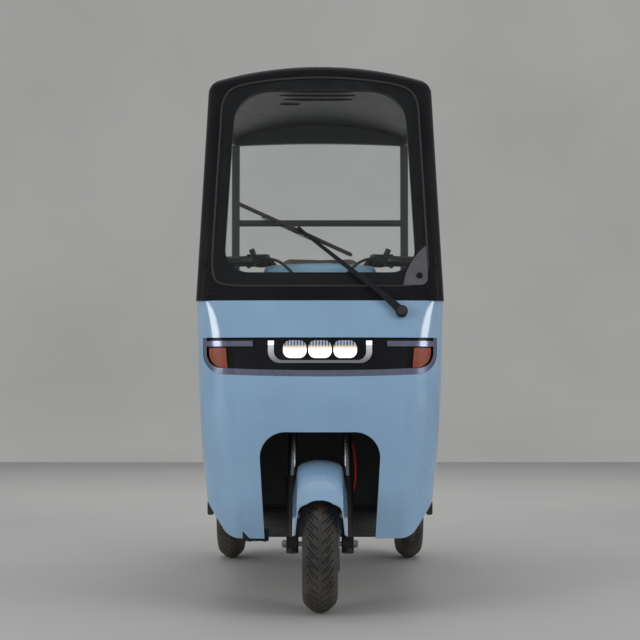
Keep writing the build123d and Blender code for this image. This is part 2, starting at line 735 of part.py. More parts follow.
# Floor pan with pressed ribs, and the black sills along its sides
FLOOR_FRONT = COWL_BACK - SEAT_GAP + SHIELD_WALL
FLOOR_BACK = REAR_BODY_FRONT - SEAT_GAP
with BuildPart() as floor_pan:
    with BuildSketch(Plane.XY.offset(CHASSIS_RAIL_TOP)) as floor_outline:
        with Locations((0, (COWL_BACK + FLOOR_BACK) / 2)):
            Rectangle(2 * FLOOR_HALF, FLOOR_BACK - COWL_BACK)
        fillet(floor_outline.vertices(), 6)
    extrude(amount=FLOOR_THICKNESS)
    with BuildSketch(Plane.XY.offset(FLOOR_TOP)):
        with Locations((0, FOOT_REST_Y)):
            RectangleRounded(FOOT_REST[0], FOOT_REST[1], 12)
    extrude(amount=FOOT_REST[2])
save(floor_pan.part, "floor_pan")

with BuildPart() as side_sills:
    for side in (-1, 1):
        edge = FLOOR_HALF + SEAT_GAP
        with BuildSketch(Plane.XZ.offset(-FLOOR_BACK)) as sill_section:
            with BuildLine():
                Polyline(
                    (side * edge, FLOOR_TOP - SILL_HEIGHT), (side * edge, FLOOR_TOP),
                    (side * (edge + SILL_WIDTH), FLOOR_TOP), (side * (edge + SILL_WIDTH), FLOOR_TOP - SILL_HEIGHT),
                    close=True,
                )
            make_face()
            fillet(sill_section.vertices().sort_by(lambda v: -abs(v.X))[:2], 7)
        extrude(amount=FLOOR_BACK - FLOOR_FRONT)
save(side_sills.part, "side_sills")

# Foot brake: a pad on a bent lever that comes through the floor's front edge
with BuildPart() as foot_brake:
    with BuildSketch(Plane.XY.offset(FLOOR_TOP + SEAT_GAP)):
        with Locations((PEDAL_X, PEDAL_Y)):
            RectangleRounded(40, 56, 6)
    extrude(amount=5)
    with BuildSketch(Plane.YZ.offset(PEDAL_X - 6)):
        with BuildLine():
            Polyline(
                (PEDAL_Y - 8, FLOOR_TOP + 3), (PEDAL_Y + 8, FLOOR_TOP + 3), (PEDAL_Y + 44, FLOOR_TOP + 66),
                (PEDAL_Y + 30, FLOOR_TOP + 74), close=True,
            )
        make_face()
    extrude(amount=12)
    pad_plane = Plane(origin=(PEDAL_X, PEDAL_Y + 36, FLOOR_TOP + 66), x_dir=(1, 0, 0), z_dir=(0, 0.64, 0.77))
    with BuildSketch(pad_plane):
        RectangleRounded(74, 58, 9)
    extrude(amount=8)
    with BuildSketch(pad_plane.offset(8)):
        with GridLocations(0, 12, 1, 4):
            RectangleRounded(60, 5, 2)
    extrude(amount=2.5)
save(foot_brake.part, "foot_brake")

# Driver's seat base: a drafted hollow box open below, with the battery inside
base_length = SEAT_BASE_BACK - SEAT_BASE_FRONT
base_y = (SEAT_BASE_BACK + SEAT_BASE_FRONT) / 2


def seat_block(inset, top):
    """The seat base's outer form, or its hollow when inset, up to a height."""
    foot = FLOOR_TOP + SEAT_GAP
    with BuildPart() as form:
        with BuildSketch(Plane.XY.offset(foot)):
            with Locations((0, base_y)):
                RectangleRounded(2 * (SEAT_BASE_HALF - inset), base_length - 2 * inset, 46 - inset)
        extrude(amount=top - foot, taper=SEAT_DRAFT)
        fillet(form.faces().sort_by(Axis.Z)[-1].edges(), 14 - inset)
    return form.part


with BuildPart() as seat_base:
    add(seat_block(0, SEAT_BASE_TOP))
    add(seat_block(SEAT_BASE_WALL, SEAT_BASE_TOP - SEAT_BASE_WALL), mode=Mode.SUBTRACT)
save(seat_base.part, "seat_base")

with BuildPart() as battery_pack:
    with Locations((0, base_y, FLOOR_TOP + SEAT_GAP)):
        Box(*BATTERY_SIZE, align=(Align.CENTER, Align.CENTER, Align.MIN))
    fillet(battery_pack.edges().filter_by(Axis.Z), 12)
save(battery_pack.part, "battery_pack")

# Driver's seat: a thick cushion, a reclined back and the tubes that carry it
with BuildPart() as driver_seat_cushion:
    with BuildSketch(Plane.XY.offset(SEAT_BASE_TOP + SEAT_GAP)):
        with Locations((0, base_y - 5)):
            RectangleRounded(2 * SEAT_BASE_HALF + 10, base_length - 10, 55)
    extrude(amount=CUSHION_THICKNESS)
    fillet(driver_seat_cushion.faces().sort_by(Axis.Z)[-1].edges(), 28)
save(driver_seat_cushion.part, "driver_seat_cushion")

BACK_PLANE = Plane(
    origin=(0, DRIVER_BACK_Y, SEAT_BASE_TOP + CUSHION_THICKNESS),
    x_dir=(1, 0, 0),
    z_dir=(0, -math.cos(math.radians(BACK_RECLINE)), math.sin(math.radians(BACK_RECLINE))),
)
DRIVER_BACK_LENGTH = (DRIVER_BACK_TOP - SEAT_BASE_TOP - CUSHION_THICKNESS) / math.cos(math.radians(BACK_RECLINE))
with BuildPart() as driver_backrest:
    with BuildSketch(BACK_PLANE) as back_outline:
        with Locations((0, (DRIVER_BACK_START + DRIVER_BACK_LENGTH) / 2)):
            RectangleRounded(2 * DRIVER_BACK_HALF, DRIVER_BACK_LENGTH - DRIVER_BACK_START, 52)
    extrude(amount=DRIVER_BACK_THICKNESS)
    fillet(driver_backrest.faces().filter_by(lambda f: f.normal_at().dot(BACK_PLANE.z_dir) > 0.99).edges(), 26)
save(driver_backrest.part, "driver_backrest")

with BuildPart() as backrest_bracket:
    recline = math.tan(math.radians(BACK_RECLINE))
    back_face = DRIVER_BACK_Y + (BRACKET_RADIUS + SEAT_GAP) / math.cos(math.radians(BACK_RECLINE))
    tube_y = SEAT_BASE_BACK + BRACKET_RADIUS + 12
    knee_z = SEAT_BASE_TOP + CUSHION_THICKNESS + (tube_y - back_face) / recline
    for side in (-1, 1):
        top_z = DRIVER_BACK_TOP - 160
        with BuildLine() as run:
            FilletPolyline(
                (side * BRACKET_X, tube_y, SEAT_BASE_TOP - 150), (side * BRACKET_X, tube_y, knee_z),
                (side * BRACKET_X, back_face + (top_z - SEAT_BASE_TOP - CUSHION_THICKNESS) * recline, top_z),
                radius=150,
            )
        with BuildSketch(Plane.XY.offset(SEAT_BASE_TOP - 150)):
            with Locations((side * BRACKET_X, tube_y)):
                Circle(BRACKET_RADIUS)
        sweep(path=run.wires()[0])
    for height in (SEAT_BASE_TOP - 125, SEAT_BASE_TOP - 45):
        draft = (height - BRACKET_PLATE / 2 - FLOOR_TOP) * math.tan(math.radians(SEAT_DRAFT))
        plate_front = SEAT_BASE_BACK - draft + SEAT_GAP
        with Locations((0, plate_front, height)):
            Box(
                2 * BRACKET_X + 44, tube_y - BRACKET_RADIUS + 2 - plate_front, BRACKET_PLATE,
                align=(Align.CENTER, Align.MIN, Align.CENTER),
            )
save(backrest_bracket.part, "backrest_bracket")

# Rear body: a hollow tub on the rails, open below, with the two wheel wells pressed into its sides
def tub(inset, bottom):
    """The rear body's outer form, or its hollow when inset: a rounded box with a sloped front."""
    half = REAR_BODY_HALF - inset
    front = REAR_BODY_FRONT + inset
    back = REAR_BODY_BACK - inset
    top = DECK_TOP - inset
    with BuildPart() as form:
        with BuildSketch(Plane.YZ.offset(-half)):
            with BuildLine():
                Polyline(
                    (front, bottom), (front + TUB_SLOPE, top), (back - TUB_SLOPE / 3, top), (back, bottom),
                    close=True,
                )
            make_face()
        extrude(amount=2 * half)
        fillet(form.edges().filter_by(lambda e: e.length > top - bottom - 1 and e.length < 1.2 * (top - bottom)), TUB_CORNER - inset)
        fillet(form.faces().sort_by(Axis.Z)[-1].edges(), TUB_EDGE - inset)
    return form.part


def well(radius, inner_x):
    """The two wheel wells, as round blocks that reach in from the sides."""
    with BuildPart() as form:
        for side in (-1, 1):
            with BuildSketch(Plane.YZ.offset(side * inner_x)):
                with Locations((REAR_AXLE_Y, TYRE_RADIUS)):
                    Circle(radius)
                with Locations((REAR_AXLE_Y, TYRE_RADIUS - radius)):
                    Rectangle(2 * radius, 2 * radius)
            extrude(amount=side * 200)
    return form.part


with BuildPart() as rear_body:
    add(tub(0, REAR_BODY_BOTTOM))
    with BuildPart(mode=Mode.PRIVATE) as hollow:
        add(tub(REAR_WALL, REAR_BODY_BOTTOM - 10))
        add(well(WELL_RADIUS + REAR_WALL, WELL_INNER_X - REAR_WALL), mode=Mode.SUBTRACT)
    add(hollow.part, mode=Mode.SUBTRACT)
    add(well(WELL_RADIUS, WELL_INNER_X), mode=Mode.SUBTRACT)
    add(well(DRUM_RADIUS + AXLE_ROOM, WELL_INNER_X - 3 * REAR_WALL), mode=Mode.SUBTRACT)
    with Locations((0, (REAR_BODY_FRONT + REAR_BODY_BACK) / 2, CHASSIS_RAIL_TOP + SEAT_GAP)):
        Box(
            2 * RAIL_X + RAIL_WIDTH + 8, 700, 100,
            align=(Align.CENTER, Align.CENTER, Align.MAX), mode=Mode.SUBTRACT,
        )
    for side in (-1, 1):
        with Locations((side * FLOOR_HALF, REAR_BODY_FRONT, FLOOR_TOP)):
            Box(60, 4, 100, align=(Align.CENTER, Align.CENTER, Align.MAX), mode=Mode.SUBTRACT)
save(rear_body.part, "rear_body")

# Rear bench: a wide cushion and a back against the low rail
with BuildPart() as rear_seat_cushion:
    with BuildSketch(Plane.XY.offset(DECK_TOP + SEAT_GAP)):
        with Locations((0, (BENCH_FRONT + BENCH_BACK) / 2)):
            RectangleRounded(2 * BENCH_HALF, BENCH_BACK - BENCH_FRONT, 48)
    extrude(amount=BENCH_THICKNESS)
    fillet(rear_seat_cushion.faces().sort_by(Axis.Z)[-1].edges(), 26)
save(rear_seat_cushion.part, "rear_seat_cushion")

with BuildPart() as rear_backrest:
    back_start = DECK_TOP + BENCH_THICKNESS + 2 * SEAT_GAP
    with BuildSketch(Plane.XZ.offset(-(POST_Y - POST_HALF + 2 - SEAT_GAP))) as bench_back:
        with Locations((0, (back_start + BENCH_BACK_TOP) / 2)):
            RectangleRounded(2 * BENCH_BACK_HALF, BENCH_BACK_TOP - back_start, 44)
    extrude(amount=BENCH_BACK_THICKNESS)
    fillet(rear_backrest.faces().sort_by(Axis.Y)[0].edges(), 24)
save(rear_backrest.part, "rear_backrest")

# Rear bumper on the ends of the rails, and the tail lamps
with BuildPart() as rear_bumper:
    with BuildSketch(Plane.XY.offset(BUMPER_Z - BUMPER_HEIGHT / 2)) as bumper_plan:
        with BuildLine():
            inner = RAIL_BACK + SEAT_GAP
            end = inner + BUMPER_END
            Polyline((-BUMPER_HALF, end), (-BUMPER_HALF, inner), (BUMPER_HALF, inner), (BUMPER_HALF, end))
            ThreePointArc((BUMPER_HALF, end), (0, inner + BUMPER_DEPTH), (-BUMPER_HALF, end))
        make_face()
    extrude(amount=BUMPER_HEIGHT)
    chamfer(rear_bumper.faces().filter_by(Axis.Z).edges().sort_by(Axis.Y)[-2:], 8)
save(rear_bumper.part, "rear_bumper")

with BuildPart() as tail_lamps:
    for side in (-1, 1):
        slope = math.atan2(TUB_SLOPE / 3, DECK_TOP - REAR_BODY_BOTTOM)
        wall_y = REAR_BODY_BACK - (TAIL_LAMP_Z - REAR_BODY_BOTTOM) * math.tan(slope)
        lamp_plane = Plane(
            origin=(side * TAIL_LAMP_X, wall_y + SEAT_GAP, TAIL_LAMP_Z),
            x_dir=(1, 0, 0),
            z_dir=(0, math.cos(slope), math.sin(slope)),
        )
        with BuildSketch(lamp_plane):
            RectangleRounded(*TAIL_LAMP_SIZE, 20)
        extrude(amount=TAIL_LAMP_DEPTH, taper=14)
save(tail_lamps.part, "tail_lamps")

# Rear axle: a tube with the reduction gear's round housing, drum backing plates and stub shafts
with BuildPart() as rear_axle:
    axle_plane = Plane(origin=(0, REAR_AXLE_Y, TYRE_RADIUS), x_dir=(0, 1, 0), z_dir=(1, 0, 0))
    with BuildSketch(axle_plane.offset(-AXLE_TUBE_HALF)):
        Circle(AXLE_TUBE_RADIUS)
    extrude(amount=2 * AXLE_TUBE_HALF)
    with BuildPart(mode=Mode.PRIVATE) as gear_housing:
        with BuildSketch(axle_plane.offset(DIFF_X - DIFF_LENGTH / 2)) as housing_outline:
            Circle(DIFF_RADIUS)
            with Locations((-MOTOR_BACKSET, 0)):
                Circle(DIFF_RADIUS - 8)
            make_hull()
        extrude(amount=DIFF_LENGTH)
        fillet(gear_housing.faces().filter_by(Axis.X).edges(), 10)
    add(gear_housing.part)
    for side in (-1, 1):
        with BuildSketch(axle_plane.offset(side * (AXLE_TUBE_HALF - 2))):
            Circle(DRUM_RADIUS + 2)
        extrude(amount=side * 8)
        with BuildSketch(axle_plane.offset(side * AXLE_TUBE_HALF)):
            Circle(STUB_RADIUS)
        extrude(amount=side * (REAR_HUB_OUTER + 10 - AXLE_TUBE_HALF))
        with BuildSketch(axle_plane.offset(side * (REAR_HUB_OUTER + SEAT_GAP))):
            RegularPolygon(STUB_RADIUS + 6, 6)
        extrude(amount=side * 12)
save(rear_axle.part, "rear_axle")

# Drive motor: a finned drum bolted to the gear housing, ahead of the axle
with BuildPart() as drive_motor:
    motor_plane = Plane(
        origin=(DIFF_X - DIFF_LENGTH / 2 - SEAT_GAP, REAR_AXLE_Y - MOTOR_BACKSET, TYRE_RADIUS),
        x_dir=(0, 1, 0),
        z_dir=(-1, 0, 0),
    )
    with BuildSketch(motor_plane):
        Circle(MOTOR_RADIUS - 6)
    extrude(amount=MOTOR_LENGTH)
    for i in range(MOTOR_FINS):
        with BuildSketch(motor_plane.offset(14 + i * (MOTOR_LENGTH - 34) / (MOTOR_FINS - 1))):
            Circle(MOTOR_RADIUS)
        extrude(amount=6)
save(drive_motor.part, "drive_motor")

# Leaf springs: three leaves on the axle tube, eyes in hangers on the rails, clamped round the tube
with BuildPart() as leaf_springs:
    seat_z = TYRE_RADIUS + AXLE_TUBE_RADIUS + SEAT_GAP
    for side in (-1, 1):
        inner = side * (SPRING_X - SPRING_WIDTH / 2)
        with BuildSketch(Plane.YZ.offset(inner)):
            for i, share in enumerate((0.5, 0.75, 1.0)):
                reach = SPRING_HALF_SPAN * share
                low = seat_z + i * SPRING_LEAF
                rise = SPRING_CAMBER * share**2
                with BuildLine():
                    ThreePointArc(
                        (REAR_AXLE_Y - reach, low + rise), (REAR_AXLE_Y, low), (REAR_AXLE_Y + reach, low + rise),
                    )
                    Line((REAR_AXLE_Y + reach, low + rise), (REAR_AXLE_Y + reach, low + rise + SPRING_LEAF))
                    ThreePointArc(
                        (REAR_AXLE_Y + reach, low + rise + SPRING_LEAF), (REAR_AXLE_Y, low + SPRING_LEAF),
                        (REAR_AXLE_Y - reach, low + rise + SPRING_LEAF),
                    )
                    Line((REAR_AXLE_Y - reach, low + rise + SPRING_LEAF), (REAR_AXLE_Y - reach, low + rise))
                make_face()
        extrude(amount=side * SPRING_WIDTH)
        eye_z = seat_z + 3 * SPRING_LEAF + SPRING_CAMBER
        for end in (-1, 1):
            eye_y = REAR_AXLE_Y + end * SPRING_HALF_SPAN
            with BuildSketch(Plane.YZ.offset(inner)):
                with Locations((eye_y, eye_z)):
                    Circle(11)
            extrude(amount=side * SPRING_WIDTH)
            rail_side = side * (RAIL_X + RAIL_WIDTH / 2 + SEAT_GAP)
            for start, thick in ((rail_side, inner - rail_side - side * 0), (inner + side * SPRING_WIDTH, side * 5)):
                with BuildSketch(Plane.YZ.offset(start)):
                    with Locations((eye_y, eye_z)):
                        RectangleRounded(34, 36, 8)
                extrude(amount=thick)
        with BuildSketch(Plane.XY.offset(seat_z + 3 * SPRING_LEAF)):
            with Locations((side * SPRING_X, REAR_AXLE_Y)):
                RectangleRounded(SPRING_WIDTH + 14, 84, 6)
        extrude(amount=7)
        with BuildSketch(Plane.XY.offset(TYRE_RADIUS - AXLE_TUBE_RADIUS - SEAT_GAP - 8)):
            with Locations((side * SPRING_X, REAR_AXLE_Y)):
                RectangleRounded(SPRING_WIDTH + 14, 84, 6)
        extrude(amount=8)
        with BuildSketch(Plane.XY.offset(TYRE_RADIUS - AXLE_TUBE_RADIUS - SEAT_GAP - 8)):
            with Locations((side * SPRING_X, REAR_AXLE_Y)):
                with GridLocations(SPRING_WIDTH + 2, 68, 2, 2):
                    Circle(4)
        extrude(amount=seat_z + 3 * SPRING_LEAF + 7 - TYRE_RADIUS + AXLE_TUBE_RADIUS + SEAT_GAP + 8)
save(leaf_springs.part, "leaf_springs")

# Front fork: lower legs with axle lugs, sliding tubes, and the crown with the steering stem
LEG_PLACES = [(side * FORK_LEG_X, -FORK_OFFSET) for side in (-1, 1)]
AXLE_PLANE = Plane(origin=FRONT_AXLE, x_dir=(0, 1, 0), z_dir=(1, 0, 0))
with BuildPart() as fork_lowers:
    with BuildSketch(STEER.offset(LOWER_LEG_FOOT)):
        with Locations(*LEG_PLACES):
            Circle(LOWER_LEG_RADIUS)
    extrude(amount=LOWER_LEG_TOP - LOWER_LEG_FOOT)
    with BuildSketch(STEER.offset(LOWER_LEG_TOP - 16)):
        with Locations(*LEG_PLACES):
            Circle(LOWER_LEG_RADIUS + 2.5)
    extrude(amount=10)
    for side in (-1, 1):
        with BuildSketch(AXLE_PLANE.offset(side * FORK_LEG_X - LUG_WIDTH / 2)):
            Circle(LUG_RADIUS)
        extrude(amount=LUG_WIDTH)
    with BuildSketch(Plane(origin=(CALIPER_X[1] + SEAT_GAP, *FRONT_AXLE[1:]), x_dir=BACK_DIR, z_dir=(1, 0, 0))):
        with Locations((24, 0.5 * (CALIPER_W[0] + CALIPER_W[1]))):
            RectangleRounded(50, CALIPER_W[1] - CALIPER_W[0] - 8, 7)
    extrude(amount=7)
    with BuildSketch(STEER.offset(STANCHION_FOOT)):
        with Locations(*LEG_PLACES):
            Circle(STANCHION_RADIUS + RUNNING_GAP)
    extrude(amount=LOWER_LEG_TOP, mode=Mode.SUBTRACT)
    with BuildSketch(AXLE_PLANE.offset(-2 * FORK_LEG_X)):
        Circle(AXLE_RADIUS + RUNNING_GAP)
    extrude(amount=4 * FORK_LEG_X, mode=Mode.SUBTRACT)
save(fork_lowers.part, "fork_lowers")

with BuildPart() as fork_stanchions:
    with BuildSketch(STEER.offset(STANCHION_FOOT)):
        with Locations(*LEG_PLACES):
            Circle(STANCHION_RADIUS)
    extrude(amount=CROWN_AT + CROWN_THICKNESS - STANCHION_FOOT)
save(fork_stanchions.part, "fork_stanchions")

with BuildPart() as steering_yokes:
    with BuildSketch(STEER.offset(CROWN_AT)):
        with Locations(*LEG_PLACES):
            Circle(STANCHION_RADIUS + 11)
        Circle(HEAD_TUBE_RADIUS + 4)
        make_hull()
    extrude(amount=CROWN_THICKNESS)
    fillet(steering_yokes.edges().filter_by(lambda e: abs(e.tangent_at(0.5).dot(STEER_DIR)) < 0.01), 5)
    with BuildSketch(STEER.offset(CROWN_AT - 1)):
        with Locations(*LEG_PLACES):
            Circle(STANCHION_RADIUS + RUNNING_GAP)
    extrude(amount=CROWN_THICKNESS + 2, mode=Mode.SUBTRACT)
    with BuildSketch(STEER.offset(CROWN_AT + CROWN_THICKNESS - 3)):
        Circle(HEAD_TUBE_RADIUS)
    extrude(amount=HEAD_TUBE_BOTTOM - SEAT_GAP - CROWN_AT - CROWN_THICKNESS + 3)
    with BuildSketch(STEER.offset(CROWN_AT + CROWN_THICKNESS - 3)):
        Circle(STEM_RADIUS)
    extrude(amount=BAR_AT - CROWN_AT - CROWN_THICKNESS)
    with BuildSketch(STEER.offset(HEAD_TUBE_TOP + SEAT_GAP)):
        RegularPolygon(HEAD_TUBE_RADIUS, 8)
    extrude(amount=20)
    with BuildSketch(STEER.offset(BAR_AT - 26)):
        RectangleRounded(76, 42, 9)
    extrude(amount=26 + BAR_RADIUS + 8)
    with BuildSketch(Plane(origin=on_axis(BAR_AT, 0, -60), x_dir=(0, 1, 0), z_dir=(1, 0, 0))):
        Circle(BAR_RADIUS + RUNNING_GAP)
    extrude(amount=120, mode=Mode.SUBTRACT)
save(steering_yokes.part, "steering_yokes")

with BuildPart() as front_axle:
    with BuildSketch(AXLE_PLANE.offset(-AXLE_END)):
        Circle(AXLE_RADIUS)
    extrude(amount=2 * AXLE_END)
    for side in (-1, 1):
        with BuildSketch(AXLE_PLANE.offset(side * (FORK_LEG_X + LOWER_LEG_RADIUS + SEAT_GAP))):
            RegularPolygon(AXLE_RADIUS + 5.5, 6)
        extrude(amount=side * 10)
save(front_axle.part, "front_axle")

# Mudguard: a turned crown with splayed skirts, an arched front lip and notches that sit on the legs


def guard_plane(angle):
    """A half-plane through the front axle at an angle up from straight ahead; its Y points outwards."""
    turn = math.radians(angle)
    return Plane(origin=FRONT_AXLE, x_dir=(1, 0, 0), z_dir=(0, -math.sin(turn), -math.cos(turn)))


with BuildPart() as mudguard:
    with BuildSketch(guard_plane(GUARD_SKIRT_ANGLE)):
        for inset, mode in ((0, Mode.ADD), (GUARD_WALL, Mode.SUBTRACT)):
            with BuildSketch(mode=Mode.PRIVATE) as guard_section:
                foot = GUARD_SKIRT_RADIUS - (30 if inset else 0)
                splay = (GUARD_SKIRT_HALF - GUARD_CROWN_HALF) / (GUARD_RADIUS - GUARD_SKIRT_RADIUS)
                skirt = GUARD_SKIRT_HALF - inset + splay * (GUARD_SKIRT_RADIUS - foot)
                crown = GUARD_CROWN_HALF - inset + 4
                with BuildLine():
                    Polyline((-crown, GUARD_RADIUS - 14 - inset), (-skirt, foot), (skirt, foot), (crown, GUARD_RADIUS - 14 - inset))
                    ThreePointArc(
                        (crown, GUARD_RADIUS - 14 - inset), (0, GUARD_RADIUS - inset), (-crown, GUARD_RADIUS - 14 - inset),
                    )
                make_face()
                fillet(guard_section.vertices().group_by(Axis.Y)[-1], 24 - inset)
            add(guard_section.sketch, mode=mode)
    revolve(axis=Axis(FRONT_AXLE, (-1, 0, 0)), revolution_arc=GUARD_REAR_ANGLE - GUARD_SKIRT_ANGLE)
    with BuildSketch(Plane.XZ.offset(-FRONT_AXLE_Y)) as lip:
        with Locations((0, GUARD_LIP_Z - 100)):
            RectangleRounded(2 * GUARD_LIP_HALF, 200, GUARD_LIP_HALF - 4)
        with Locations((0, GUARD_LIP_Z - 160)):
            Rectangle(2 * GUARD_LIP_HALF, 160)
    extrude(amount=400, mode=Mode.SUBTRACT)
    lip_y = FRONT_AXLE_Y - math.sqrt(GUARD_RADIUS**2 - (GUARD_LIP_Z - TYRE_RADIUS) ** 2)
    with BuildSketch(Plane.YZ.offset(-GUARD_RADIUS)):
        with BuildLine():
            Polyline(
                (lip_y - 80, GUARD_LIP_Z), (lip_y, GUARD_LIP_Z), (lip_y + GUARD_TIP_CUT, TYRE_RADIUS + 40),
                (lip_y - 80, TYRE_RADIUS + 40), close=True,
            )
        make_face()
    extrude(amount=2 * GUARD_RADIUS, mode=Mode.SUBTRACT)
    with BuildSketch(STEER):
        with Locations(*LEG_PLACES):
            Circle(LOWER_LEG_RADIUS + SEAT_GAP)
    extrude(amount=CROWN_AT, mode=Mode.SUBTRACT)
    with BuildSketch(STEER.offset(LOWER_LEG_TOP - 16 - SEAT_GAP)):
        with Locations(*LEG_PLACES):
            Circle(LOWER_LEG_RADIUS + 2.5 + SEAT_GAP)
    extrude(amount=10 + 2 * SEAT_GAP, mode=Mode.SUBTRACT)
save(mudguard.part, "mudguard")

# Handlebar: a bent tube that rises and sweeps back to the grips
BAR_CENTRE = on_axis(BAR_AT)


def bar_path():
    """The handlebar's centre line from one end to the other."""
    half = [(BAR_HALF_WIDTH, BAR_SWEEP, BAR_RISE), (BAR_KNEES[1], BAR_BACKSET, BAR_RISE), (BAR_KNEES[0], 0, 0)]
    right = [BAR_CENTRE + Vector(*place) for place in half]
    left = [Vector(-place.X, place.Y, place.Z) for place in right]
    with BuildLine() as path:
        FilletPolyline(*left, *reversed(right), radius=36)
    return path.wires()[0]


def along_bar(side, back):
    """A plane square to the bar, a distance in from its end on one side, with Z towards the end."""
    end = BAR_CENTRE + Vector(side * BAR_HALF_WIDTH, BAR_SWEEP, BAR_RISE)
    knee = BAR_CENTRE + Vector(side * BAR_KNEES[1], BAR_BACKSET, BAR_RISE)
    out = (end - knee).normalized()
    return Plane(origin=end - out * back, x_dir=(0, 0, 1), z_dir=out)


def swept_bar(radius):
    """A round bar of a radius along the handlebar's path."""
    with BuildPart() as form:
        path = bar_path()
        with BuildSketch(Plane(origin=path @ 0, z_dir=path % 0)):
            Circle(radius)
        sweep(path=path)
    return form.part


with BuildPart() as handlebar:
    add(swept_bar(BAR_RADIUS))
save(handlebar.part, "handlebar")

with BuildPart() as handle_grips:
    for side in (-1, 1):
        for back, length, radius in ((GRIP_LENGTH, GRIP_LENGTH, GRIP_RADIUS), (GRIP_LENGTH, 6, GRIP_RADIUS + 6), (6, 6, GRIP_RADIUS + 3)):
            with BuildSketch(along_bar(side, back)):
                Circle(radius)
                Circle(BAR_RADIUS + RUNNING_GAP, mode=Mode.SUBTRACT)
            extrude(amount=length)
save(handle_grips.part, "handle_grips")

# Brake levers: a clamp on the bar with a mirror boss, a switch pod, and a curved blade ahead of the grip
with BuildPart() as brake_levers:
    for side in (-1, 1):
        perch = along_bar(side, GRIP_LENGTH + SEAT_GAP + PERCH_WIDTH)
        middle = perch.offset(PERCH_WIDTH / 2).origin
        with BuildSketch(perch):
            Circle(PERCH_RADIUS)
            with Locations((0, side * 12)):
                RectangleRounded(22, 30, 6)
        extrude(amount=PERCH_WIDTH)
        boss_lean = math.radians(BOSS_LEAN)
        boss_root = Plane(
            origin=middle - Vector(side * BOSS_INSET, 0, 0), x_dir=(0, 1, 0),
            z_dir=(side * math.sin(boss_lean), 0, math.cos(boss_lean)),
        )
        with BuildSketch(boss_root):
            Circle(BOSS_RADIUS)
        extrude(amount=BOSS_TOP)
        with BuildSketch(perch.offset(-34)):
            RectangleRounded(40, 44, 12)
        extrude(amount=34 - SEAT_GAP)
        blade_z = middle.Z - 5
        with BuildSketch(Plane.XY.offset(blade_z)):
            with BuildLine():
                near = (middle.X + side * 4, middle.Y - 22)
                mid = (middle.X + side * 62, middle.Y - 34)
                tip = (middle.X + side * 124, middle.Y - 8)
                ThreePointArc(near, mid, tip)
                Line(tip, (tip[0] + side * 4, tip[1] - 11))
                ThreePointArc((tip[0] + side * 4, tip[1] - 11), (mid[0], mid[1] - 13), (near[0], near[1] - 15))
                Line((near[0], near[1] - 15), near)
            make_face()
        extrude(amount=10)
        with BuildSketch(boss_root.offset(BOSS_TOP - MIRROR_DEPTH)):
            Circle(MIRROR_HOLE)
        extrude(amount=MIRROR_DEPTH + 10, mode=Mode.SUBTRACT)
    add(swept_bar(BAR_RADIUS + RUNNING_GAP), mode=Mode.SUBTRACT)
save(brake_levers.part, "brake_levers")

# Handlebar cowl: a hollow cover over the middle of the bar, open below, with the display on its back


def bar_cowl_form(inset):
    """The handlebar cowl's outer form, or its hollow when inset."""
    top = BAR_COWL_TOP - inset
    half = BAR_COWL_HALF - inset
    bottom = BAR_COWL_BOTTOM - (20 if inset else 0)
    with BuildPart() as form:
        with BuildSketch(Plane.XZ.offset(-BAR_COWL_BACK + inset)) as front_view:
            with BuildLine():
                Polyline(
                    (-half, top - 10), (-half, top - 52), (-half + 62, bottom), (half - 62, bottom),
                    (half, top - 52), (half, top - 10),
                )
                ThreePointArc((half, top - 10), (0, top), (-half, top - 10))
            make_face()
            fillet(front_view.vertices().group_by(Axis.Y)[-1], 24 - inset)
        extrude(amount=BAR_COWL_BACK - BAR_COWL_FRONT - 2 * inset)
        for end, radius in ((0, 18), (-1, 12)):
            rim = form.faces().sort_by(Axis.Y)[end].edges()
            fillet(rim.filter_by(lambda e: e.center().Z > bottom + 4), radius - inset)
    return form.part


with BuildPart() as handlebar_cowl:
    add(bar_cowl_form(0))
    add(bar_cowl_form(BAR_COWL_WALL), mode=Mode.SUBTRACT)
    add(swept_bar(BAR_RADIUS + SEAT_GAP), mode=Mode.SUBTRACT)
save(handlebar_cowl.part, "handlebar_cowl")

with BuildPart() as display:
    with BuildSketch(Plane.XZ.offset(-BAR_COWL_BACK - SEAT_GAP)):
        with Locations((0, BAR_COWL_TOP - 46)):
            RectangleRounded(150, 62, 14)
    extrude(amount=-12, taper=12)
save(display.part, "display")

# Front brake: a caliper astride the disc, and the hose to it
with BuildPart() as brake_caliper:
    with BuildSketch(Plane(origin=(CALIPER_X[0], *FRONT_AXLE[1:]), x_dir=BACK_DIR, z_dir=(1, 0, 0))):
        with Locations((0.5 * (CALIPER_BACK[0] + CALIPER_BACK[1]), 0.5 * (CALIPER_W[0] + CALIPER_W[1]))):
            RectangleRounded(CALIPER_BACK[1] - CALIPER_BACK[0], CALIPER_W[1] - CALIPER_W[0], 9)
    extrude(amount=CALIPER_X[1] - CALIPER_X[0])
    with BuildSketch(Plane(origin=(DISC_X - PAD_GAP, *FRONT_AXLE[1:]), x_dir=BACK_DIR, z_dir=(1, 0, 0))):
        Circle(DISC_RADIUS + 5)
    extrude(amount=DISC_THICKNESS + 2 * PAD_GAP, mode=Mode.SUBTRACT)
save(brake_caliper.part, "brake_caliper")

def bend_radii(route):
    """A radius for each inner corner of a cable's route, as large as its two runs allow."""
    runs = [(b - a).length for a, b in zip(route, route[1:])]
    radii = []
    for i in range(1, len(route) - 1):
        turn = math.radians((route[i] - route[i - 1]).get_angle(route[i + 1] - route[i]))
        radii.append(0.45 * min(runs[i - 1], runs[i]) / math.tan(turn / 2))
    return radii


